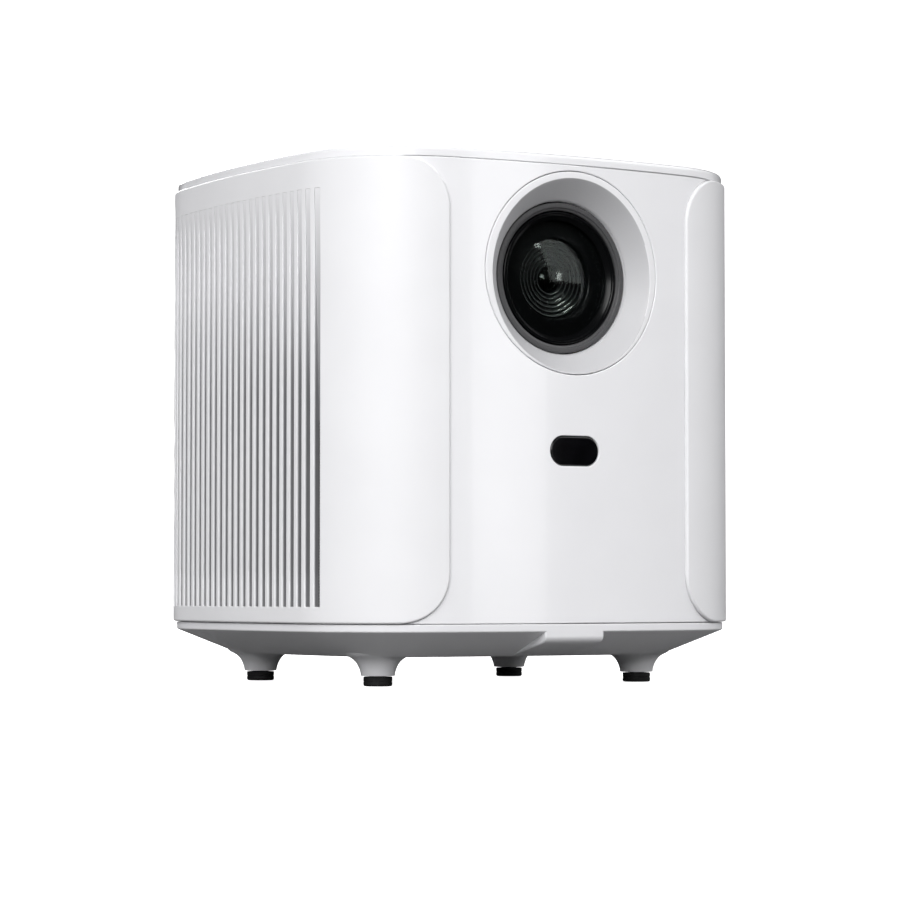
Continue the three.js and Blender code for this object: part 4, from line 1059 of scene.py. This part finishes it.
class Shader:
    """A node material under construction."""

    def __init__(self, name, **values):
        self.material = bpy.data.materials.new(name)
        self.material.use_nodes = True
        self.tree = self.material.node_tree
        self.bsdf = self.tree.nodes["Principled BSDF"]
        for key, value in values.items():
            socket = key.replace("_", " ").title().replace("Ior", "IOR")
            self.bsdf.inputs[socket].default_value = value
        self.place = self.tree.nodes.new("ShaderNodeTexCoord").outputs["Object"]

    def node(self, kind, inputs=None, **properties):
        made = self.tree.nodes.new("ShaderNode" + kind)
        for key, value in properties.items():
            setattr(made, key, value)
        for key, value in (inputs or {}).items():
            if isinstance(value, bpy.types.NodeSocket):
                self.link(value, made.inputs[key])
            else:
                made.inputs[key].default_value = value
        return made

    def link(self, output, target):
        self.tree.links.new(output, target)

    def noise(self, size, detail=3.0, roughness=0.5, stretch=None):
        """Noise with features of about the given size in metres."""
        place = self.place
        if stretch is not None:
            stretched = self.node("Mapping", {"Vector": place, "Scale": stretch})
            place = stretched.outputs["Vector"]
        made = self.node(
            "TexNoise", {"Vector": place, "Scale": 1 / size, "Detail": detail, "Roughness": roughness}
        )
        return made.outputs["Fac"]

    def between(self, fac, low, high, start=0.3, end=0.7):
        """A number that follows a mask."""
        made = self.node(
            "MapRange",
            {"Value": fac, "From Min": start, "From Max": end, "To Min": low, "To Max": high},
        )
        return made.outputs["Result"]

    def mixed(self, fac, first, second):
        """A colour that follows a mask."""
        made = self.node("Mix", data_type="RGBA")
        self.link(fac, made.inputs[0])
        for socket, value in ((made.inputs[6], first), (made.inputs[7], second)):
            if isinstance(value, bpy.types.NodeSocket):
                self.link(value, socket)
            else:
                socket.default_value = (*value, 1.0)
        return made.outputs[2]

    def bump(self, height, strength, distance, under=None):
        inputs = {"Height": height, "Strength": strength, "Distance": distance}
        if under is not None:
            inputs["Normal"] = under
        return self.node("Bump", inputs).outputs["Normal"]

    def use(self, **links):
        for key, value in links.items():
            self.link(value, self.bsdf.inputs[key.replace("_", " ").title()])
        return self.material


def scaled(colour, factor):
    return tuple(min(1.0, c * factor) for c in colour)


def plastic(name, colour, roughness, grain, grain_height, coat=0.0, spread=0.04):
    """Moulded plastic: faint cloudiness in the colour, uneven gloss and a fine surface grain."""
    shader = Shader(name, roughness=roughness, coat_weight=coat)
    cloud = shader.noise(0.035, 2)
    tone = shader.mixed(
        shader.between(cloud, 0, 1), scaled(colour, 0.985), scaled(colour, 1.01)
    )
    gloss = shader.between(shader.noise(0.012, 4), roughness - spread, roughness + spread)
    fine = shader.noise(grain, 2, 0.6)
    slow = shader.noise(0.02, 1)
    normal = shader.bump(slow, 0.25, 0.00004)
    normal = shader.bump(fine, 0.5, grain_height, normal)
    return shader, tone, gloss, normal


def white_plastic(name, **look):
    shader, tone, gloss, normal = plastic(name, **look)
    return shader.use(base_color=tone, roughness=gloss, normal=normal)


SATIN = {"colour": (0.838, 0.838, 0.855), "roughness": 0.42, "grain": 0.0005}


def side_white():
    """Satin white; the walls and floors of the slots are painted a darker grey as shade, the more so
    the deeper the slot.
    """
    shader, tone, gloss, normal = plastic("satin_white_slotted", grain_height=0.00001, **SATIN)
    slot_shade = shader.node("Attribute", attribute_name="shade")
    # Painted shade in the slots, mixed in by the per-point attribute.
    tone = shader.mixed(slot_shade.outputs["Fac"], tone, (0.225, 0.225, 0.235))
    return shader.use(base_color=tone, roughness=gloss, normal=normal)


# Painted shade: a darker grey than the bezel's white, for the recessed cone.
def cone_painted_shade():
    return white_plastic(
        "cone_painted_shade", colour=(0.58, 0.58, 0.595), roughness=0.5, grain=0.0006, grain_height=0.00001
    )


def woven_cloth():
    shader = Shader("acoustic_cloth", roughness=0.95, sheen_weight=0.3)
    waves = []
    for across in ("Y", "Z"):
        wave = shader.node(
            "TexWave", {"Vector": shader.place, "Scale": 260.0, "Distortion": 0.3},
            bands_direction=across,
        )
        waves.append(wave.outputs["Fac"])
    weave = shader.node("Math", {0: waves[0], 1: waves[1]}, operation="MULTIPLY").outputs[0]
    tone = shader.mixed(weave, (0.14, 0.14, 0.145), (0.32, 0.32, 0.33))
    return shader.use(base_color=tone, normal=shader.bump(weave, 0.8, 0.0003))


def rubber():
    shader = Shader("rubber", roughness=0.75, specular_ior_level=0.35)
    fleck = shader.noise(0.0006, 3)
    tone = shader.mixed(shader.between(fleck, 0, 1), (0.008, 0.008, 0.009), (0.018, 0.018, 0.018))
    gloss = shader.between(shader.noise(0.004, 2), 0.62, 0.85)
    return shader.use(base_color=tone, roughness=gloss, normal=shader.bump(fleck, 0.4, 0.00006))


def black_plastic():
    colour, roughness = (0.012, 0.012, 0.013), 0.42
    shader = Shader("black_plastic")
    grain = shader.noise(0.0007, 3)
    tone = shader.mixed(shader.between(grain, 0, 1), scaled(colour, 0.8), scaled(colour, 1.3))
    gloss = shader.between(shader.noise(0.006, 3), roughness - 0.06, roughness + 0.06)
    return shader.use(base_color=tone, roughness=gloss, normal=shader.bump(grain, 0.25, 0.00003))


def lens_rings(shader, waves):
    """A mask of rings round the lens axis."""
    axis = shader.node("Mapping", {"Vector": shader.place, "Location": (0, 0, -LENS_Z * MM)})
    inputs = {"Vector": axis.outputs["Vector"], **waves}
    return shader.node("TexWave", inputs, wave_type="RINGS", rings_direction="Y").outputs["Fac"]


def barrel_black():
    """Anodised black with fine turning marks round the lens axis."""
    shader = Shader("barrel_black", specular_ior_level=0.25)
    rings = lens_rings(shader, {"Scale": 340.0, "Distortion": 0.4})
    tone = shader.mixed(rings, (0.0025, 0.0025, 0.003), (0.005, 0.0055, 0.006))
    gloss = shader.between(shader.noise(0.02, 2), 0.17, 0.21)
    return shader.use(base_color=tone, roughness=gloss, normal=shader.bump(rings, 0.06, 0.00003))


def ribbed_black():
    """Black, painted slightly greyer along the crest of each rib of the funnel as a painted highlight
    that draws the rib arcs.
    """
    shader = Shader("ribbed_black", specular_ior_level=0.3)
    phase = 2 * math.pi * (1 - (FUNNEL_INNER / RIB_PITCH) % 1)
    scale = math.pi / (10 * RIB_PITCH * MM)  # one ring to each rib
    crest = lens_rings(shader, {"Scale": scale, "Phase Offset": phase})
    # Painted highlight: the rib crests are greyer and the valleys stay black.
    painted_crest_light = shader.between(crest, 0, 1, 0.55, 0.95)
    tone = shader.mixed(painted_crest_light, (0.002, 0.002, 0.0025), (0.018, 0.017, 0.018))
    gloss = shader.between(shader.noise(0.004, 2), 0.2, 0.28)
    return shader.use(base_color=tone, roughness=gloss)


def grey_ring():
    shader = Shader("grey_ring")
    grain = shader.noise(0.0006, 3)
    tone = shader.mixed(shader.between(grain, 0, 1), (0.06, 0.06, 0.063), (0.075, 0.075, 0.078))
    gloss = shader.between(shader.noise(0.005, 3), 0.36, 0.46)
    return shader.use(base_color=tone, roughness=gloss, normal=shader.bump(grain, 0.2, 0.00002))


def window_black():
    shader = Shader("window_black", coat_weight=0.5)
    haze = shader.noise(0.01, 3)
    tone = shader.mixed(shader.between(haze, 0, 1), (0.002, 0.002, 0.0025), (0.004, 0.004, 0.005))
    return shader.use(base_color=tone, roughness=shader.between(haze, 0.05, 0.1))


def coated_glass(name, tint, shine):
    """Clear glass that lets light straight through. Its front reflects faintly, tinted by its
    coating."""
    shader = Shader(name)
    tree = shader.tree
    clear = shader.node("BsdfTransparent", {"Color": (*tint, 1.0)})
    film = shader.noise(0.008, 2)
    colour = shader.mixed(shader.between(film, 0, 1), shine, scaled(shine, 1.08))
    gloss = shader.node("BsdfGlossy", {"Color": colour, "Roughness": 0.09})
    fresnel = shader.node("Fresnel", {"IOR": 1.45})
    behind = shader.node("NewGeometry").outputs["Backfacing"]
    front = shader.between(behind, 1, 0, 0, 1)
    share = shader.node("Math", {0: fresnel.outputs[0], 1: front}, operation="MULTIPLY")
    mix = shader.node("MixShader", {0: share.outputs[0], 1: clear.outputs[0], 2: gloss.outputs[0]})
    output = next(n for n in tree.nodes if n.type == "OUTPUT_MATERIAL")
    tree.links.new(mix.outputs[0], output.inputs["Surface"])
    tree.nodes.remove(shader.bsdf)
    return shader.material


def metal(name, colour, roughness, stretch):
    """Drawn or milled metal: streaks along one direction."""
    shader = Shader(name, metallic=1.0)
    streak = shader.noise(0.002, 4, 0.6, stretch)
    tone = shader.mixed(shader.between(streak, 0, 1), scaled(colour, 0.88), scaled(colour, 1.06))
    gloss = shader.between(streak, roughness - 0.08, roughness + 0.1)
    return shader.use(base_color=tone, roughness=gloss, normal=shader.bump(streak, 0.15, 0.00003))


def mirror():
    shader = Shader("mirror", metallic=1.0)
    haze = shader.noise(0.02, 3)
    tone = shader.mixed(shader.between(haze, 0, 1), (0.86, 0.88, 0.9), (0.9, 0.91, 0.92))
    return shader.use(base_color=tone, roughness=shader.between(haze, 0.02, 0.05))


def clear_optics():
    shader = Shader("clear_optics", transmission_weight=0.6, specular_ior_level=0.6)
    haze = shader.noise(0.01, 3)
    tone = shader.mixed(shader.between(haze, 0, 1), (0.72, 0.76, 0.78), (0.8, 0.83, 0.85))
    rings = shader.node(
        "TexWave", {"Vector": shader.place, "Scale": 400.0}, wave_type="RINGS", rings_direction="Z"
    ).outputs["Fac"]
    return shader.use(
        base_color=tone, roughness=shader.between(haze, 0.06, 0.14),
        normal=shader.bump(rings, 0.1, 0.00003),
    )


def circuit_board():
    shader = Shader("circuit_board", roughness=0.45)
    tracks = shader.node(
        "TexBrick",
        {"Vector": shader.place, "Scale": 180.0, "Mortar Size": 0.03,
         "Color1": (0.010, 0.085, 0.035, 1), "Color2": (0.014, 0.105, 0.045, 1),
         "Mortar": (0.03, 0.17, 0.08, 1)},
    )
    fleck = shader.noise(0.003, 2)
    tone = shader.mixed(shader.between(fleck, 0, 0.35), tracks.outputs["Color"], (0.02, 0.03, 0.025))
    return shader.use(base_color=tone, normal=shader.bump(tracks.outputs["Fac"], 0.3, 0.00005))


def paper_cone():
    shader = Shader("paper_cone", roughness=0.85)
    fibre = shader.noise(0.0015, 5, 0.7)
    tone = shader.mixed(shader.between(fibre, 0, 1), (0.012, 0.012, 0.012), (0.035, 0.034, 0.032))
    return shader.use(base_color=tone, normal=shader.bump(fibre, 0.6, 0.00012))


MATERIALS = {
    "gloss_white": white_plastic(
        "gloss_white", colour=(0.872, 0.872, 0.892), roughness=0.16, grain=0.0012,
        grain_height=0.000002, coat=0.35, spread=0.03,
    ),
    "satin_white": white_plastic("satin_white", grain_height=0.00001, **SATIN),
    "base_white": white_plastic(
        "base_white", colour=(0.80, 0.80, 0.82), roughness=0.5, grain=0.0005,
        grain_height=0.000012,
    ),
    "grey_ring": grey_ring(),
    "black_plastic": black_plastic(),
    "window_black": window_black(),
    "rubber": rubber(),
    "lens_glass": coated_glass("lens_glass", (0.95, 0.97, 0.96), (0.05, 0.06, 0.055)),
    "clear_optics": clear_optics(),
    "mirror": mirror(),
    "copper": metal("copper", (0.78, 0.42, 0.28), 0.3, (1, 0.08, 1)),
    "aluminium": metal("aluminium", (0.72, 0.73, 0.74), 0.36, (0.08, 1, 1)),
    "steel": metal("steel", (0.56, 0.57, 0.58), 0.3, (1, 1, 0.1)),
    "brass": metal("brass", (0.75, 0.58, 0.28), 0.28, (1, 1, 0.1)),
    "board": circuit_board(),
    "cone_black": paper_cone(),
    "cloth": woven_cloth(),
}


def paint(obj, material):
    if obj.data.materials:
        for i in range(len(obj.data.materials)):
            obj.data.materials[i] = material
    else:
        obj.data.materials.append(material)


node_slots = {row["node"]: row["material_slot"] for row in frame["record"]["subparts"]}
for node, obj in frame["nodes"].items():
    paint(obj, MATERIALS[node_slots[node]])

# ---- pieces on the frame --------------------------------------------------------------


def stand_in(obj, node, body="projector_case", material=None):
    """Puts a finished piece in the place of a CAD node."""
    paint(obj, material or MATERIALS[node_slots[node]])
    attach(obj, body)
    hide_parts(node)
    return obj


slotted = side_white()
stand_in(side_panel("left_side_shell", -1), "left_side_panel", material=slotted)
stand_in(side_panel("right_side_shell", 1), "right_side_panel", material=slotted)
stand_in(front_panel(), "front_panel")
stand_in(rear_panel(), "rear_panel")
stand_in(sensor_window(), "sensor_window")
stand_in(top_cover(), "top_cover")
stand_in(base_pan(), "base_pan")
for pad in FOOT_PADS:
    stand_in(foot_pad(pad), pad)
stand_in(power_button(), "power_button", "power_button")
paint_cone(stand_in(lens_bezel(), "lens_bezel"))
stand_in(lens_housing(), "lens_housing")
stand_in(focus_cell(), "focus_cell", "focus_cell", barrel_black())
stand_in(front_glass(), "front_glass", "focus_cell")
stand_in(rear_glass(), "rear_glass", "focus_cell")
uncoated = coated_glass("inner_lens_glass", (0.93, 0.95, 0.94), (0.96, 0.98, 1.0))
for piece in (second_glass(), inner_glass()):
    paint(piece, uncoated)
    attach(piece, "focus_cell")
funnel = ribbed_funnel()
paint(funnel, ribbed_black())
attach(funnel, "focus_cell")

# ---- floor, light and camera ----------------------------------------------------------

# Directions are given as seen from the object: azimuth 0 is straight in front of the lens,
# positive towards its right side (+X); elevation is above the floor.
TARGET = Vector((0, 0, 0.11))


def direction(azimuth, elevation):
    a, e = math.radians(azimuth), math.radians(elevation)
    return Vector((math.sin(a) * math.cos(e), -math.cos(a) * math.cos(e), math.sin(e)))


def softbox(name, azimuth, elevation, distance, width, height, radiance):
    light = bpy.data.lights.new(name, "AREA")
    light.shape = "RECTANGLE"
    light.size, light.size_y = width, height
    light.energy = radiance * math.pi * width * height
    obj = bpy.data.objects.new(name, light)
    bpy.context.scene.collection.objects.link(obj)
    way = direction(azimuth, elevation)
    obj.location = TARGET + way * distance
    obj.rotation_euler = way.to_track_quat("Z", "Y").to_euler()
    return obj


# name, azimuth, elevation, distance, width, height, radiance
LIGHTS = [
    ("key", -40, 22, 2.4, 1.6, 1.3, 5.4),
    ("side_key", -65, 35, 2.4, 1.6, 1.3, 2.7),
    ("lens_box", 50, 33, 2.4, 1.9, 1.6, 1.7),
    ("right_fill", 85, 15, 2.4, 1.2, 1.4, 0.5),
    ("rear_fill", 165, 30, 2.4, 1.6, 1.3, 6.0),
    ("front_strip", 22.3, 8, 2.4, 0.46, 0.9, 2.1),
    ("glass_box", 46, 24, 2.4, 2.0, 1.7, 1.3),
    ("spark", 18, 35, 2.4, 0.2, 0.2, 9.0),
    ("catch_light", 34, 8.5, 2.4, 0.22, 0.22, 9.0),
    ("rib_light", 12, 62, 2.4, 1.2, 0.8, 32.0),
]
lights = {row[0]: softbox(*row) for row in LIGHTS}


def share_light(name, pieces, link_state="INCLUDE"):
    """Lets a light reach only some pieces, or every piece except them."""
    group = bpy.data.collections.new(name + "_pieces")
    for piece in pieces:
        group.objects.link(piece)
    for entry in group.collection_objects:
        entry.light_linking.link_state = link_state
    lights[name].light_linking.receiver_collection = group


outer_glass, barrel, middle_glass, inner_most = [
    bpy.data.objects[name]
    for name in (
        "front_glass_element", "focus_cell_barrel", "second_glass_element", "inner_glass_element"
    )
]
for name in ("front_strip", "lens_box"):
    share_light(name, [outer_glass, barrel, middle_glass, inner_most], "EXCLUDE")
share_light("right_fill", [outer_glass, barrel], "EXCLUDE")
for name in ("glass_box", "spark", "catch_light"):
    share_light(name, [middle_glass])
share_light("rib_light", [funnel])
for name in ("key", "side_key"):
    share_light(name, [funnel], "EXCLUDE")


# How bright the surroundings are at each height: (sine of the elevation, strength).
WORLD = [(-0.1, 0.0), (0.05, 0.0), (0.35, 0.78), (0.9, 0.04)]
WORLD_SEEN = 0.1  # the share of it that reflections see
BOUNCE = 0.23  # how pale the unseen floor is that throws light back up
ROOM_RADIUS = 6.0
ROUND_STEPS = 96


def studio_world():
    """Even light from all round, brightest above the horizon, with little from below."""
    world = bpy.data.worlds.new("studio")
    bpy.context.scene.world = world
    world.use_nodes = True
    nodes, links = world.node_tree.nodes, world.node_tree.links
    background = nodes["Background"]
    place = nodes.new("ShaderNodeTexCoord")
    split = nodes.new("ShaderNodeSeparateXYZ")
    links.new(place.outputs["Generated"], split.inputs[0])
    height = nodes.new("ShaderNodeMapRange")
    height.inputs["From Min"].default_value = -1.0
    links.new(split.outputs["Z"], height.inputs["Value"])
    ramp = nodes.new("ShaderNodeValToRGB")
    stops = ramp.color_ramp.elements
    while len(stops) < len(WORLD):
        stops.new(0.5)
    for stop, (sine, strength) in zip(stops, WORLD):
        stop.position = (sine + 1) / 2
        stop.color = (strength * 0.985, strength * 0.985, strength, 1)
    links.new(height.outputs["Result"], ramp.inputs["Fac"])
    links.new(ramp.outputs["Color"], background.inputs["Color"])
    path = nodes.new("ShaderNodeLightPath")
    seen = nodes.new("ShaderNodeMapRange")
    seen.inputs["To Min"].default_value = 1.0
    seen.inputs["To Max"].default_value = WORLD_SEEN
    links.new(path.outputs["Is Glossy Ray"], seen.inputs["Value"])
    links.new(seen.outputs["Result"], background.inputs["Strength"])


studio_world()


def stage_material(name, glow):
    shader = Shader(name, roughness=0.9)
    speck = shader.noise(0.4, 2)
    tone = shader.mixed(shader.between(speck, 0, 1), (0.9, 0.9, 0.9), (0.92, 0.92, 0.92))
    shader.bsdf.inputs["Emission Color"].default_value = (1, 1, 1, 1)
    shader.bsdf.inputs["Emission Strength"].default_value = glow
    return shader.use(base_color=tone)


def bounce_grey():
    shader = Shader("floor_bounce", roughness=1.0, specular_ior_level=0.0)
    speck = shader.noise(0.4, 2)
    low, high = (BOUNCE * 0.97,) * 3, (BOUNCE * 1.03,) * 3
    return shader.use(base_color=shader.mixed(shader.between(speck, 0, 1), low, high))


def flat_ring(radius, z):
    """A level ring of points, in millimetres from a radius and a height in metres."""
    angles = np.linspace(0, 2 * math.pi, ROUND_STEPS, endpoint=False)
    level = np.full(ROUND_STEPS, z)
    return np.column_stack([radius * np.cos(angles), radius * np.sin(angles), level]) / MM


def disc(name, radius, z):
    return new_object(name, flat_ring(radius, z), [list(range(ROUND_STEPS))])


floor = disc("floor", ROOM_RADIUS, 0.0)
# It glows, so it is plain white where it is seen and shows no shadow.
paint(floor, stage_material("floor_white", 1.0))
floor.visible_diffuse = False
floor.visible_glossy = False
floor.visible_shadow = False
floor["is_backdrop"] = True

# What the floor throws back at the object, much dimmer than the white that is seen.
bounce = disc("floor_bounce", 1.2, -0.002)
paint(bounce, bounce_grey())
bounce.visible_camera = False
bounce.visible_glossy = False
bounce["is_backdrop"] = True

wall = ((ROOM_RADIUS, 0.0), (ROOM_RADIUS, 3.0), (4.2, 5.2), (0.05, 6.0))
wall_rings = [flat_ring(radius, z) for radius, z in wall]
backdrop = new_object("backdrop", *ringed(wall_rings, closed=False, capped=False))
paint(backdrop, stage_material("backdrop_white", 1.1))
for flag in ("visible_diffuse", "visible_glossy", "visible_shadow", "visible_transmission"):
    setattr(backdrop, flag, False)
backdrop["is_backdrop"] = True

# The camera stands left of the lens, just above the floor, and looks slightly up.
CAMERA_PLACE = (-0.7335, -1.2086, 0.04064)
HEADING = math.radians(31.306)
PITCH = math.radians(2.460)

camera = bpy.data.objects.new("camera", bpy.data.cameras.new("camera"))
bpy.context.scene.collection.objects.link(camera)
camera.location = CAMERA_PLACE
camera.data.lens = 128.6
camera.data.sensor_width = 36
camera.data.clip_end = 50
sight = Vector((
    math.sin(HEADING) * math.cos(PITCH), math.cos(HEADING) * math.cos(PITCH), math.sin(PITCH)
))
camera.rotation_euler = sight.to_track_quat("-Z", "Y").to_euler()
bpy.context.scene.camera = camera
bpy.context.scene.view_settings.view_transform = "Standard"

boxes = {"cad": cad_box, "visual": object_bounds()}
{k: [list(low), list(high)] for k, (low, high) in boxes.items()}
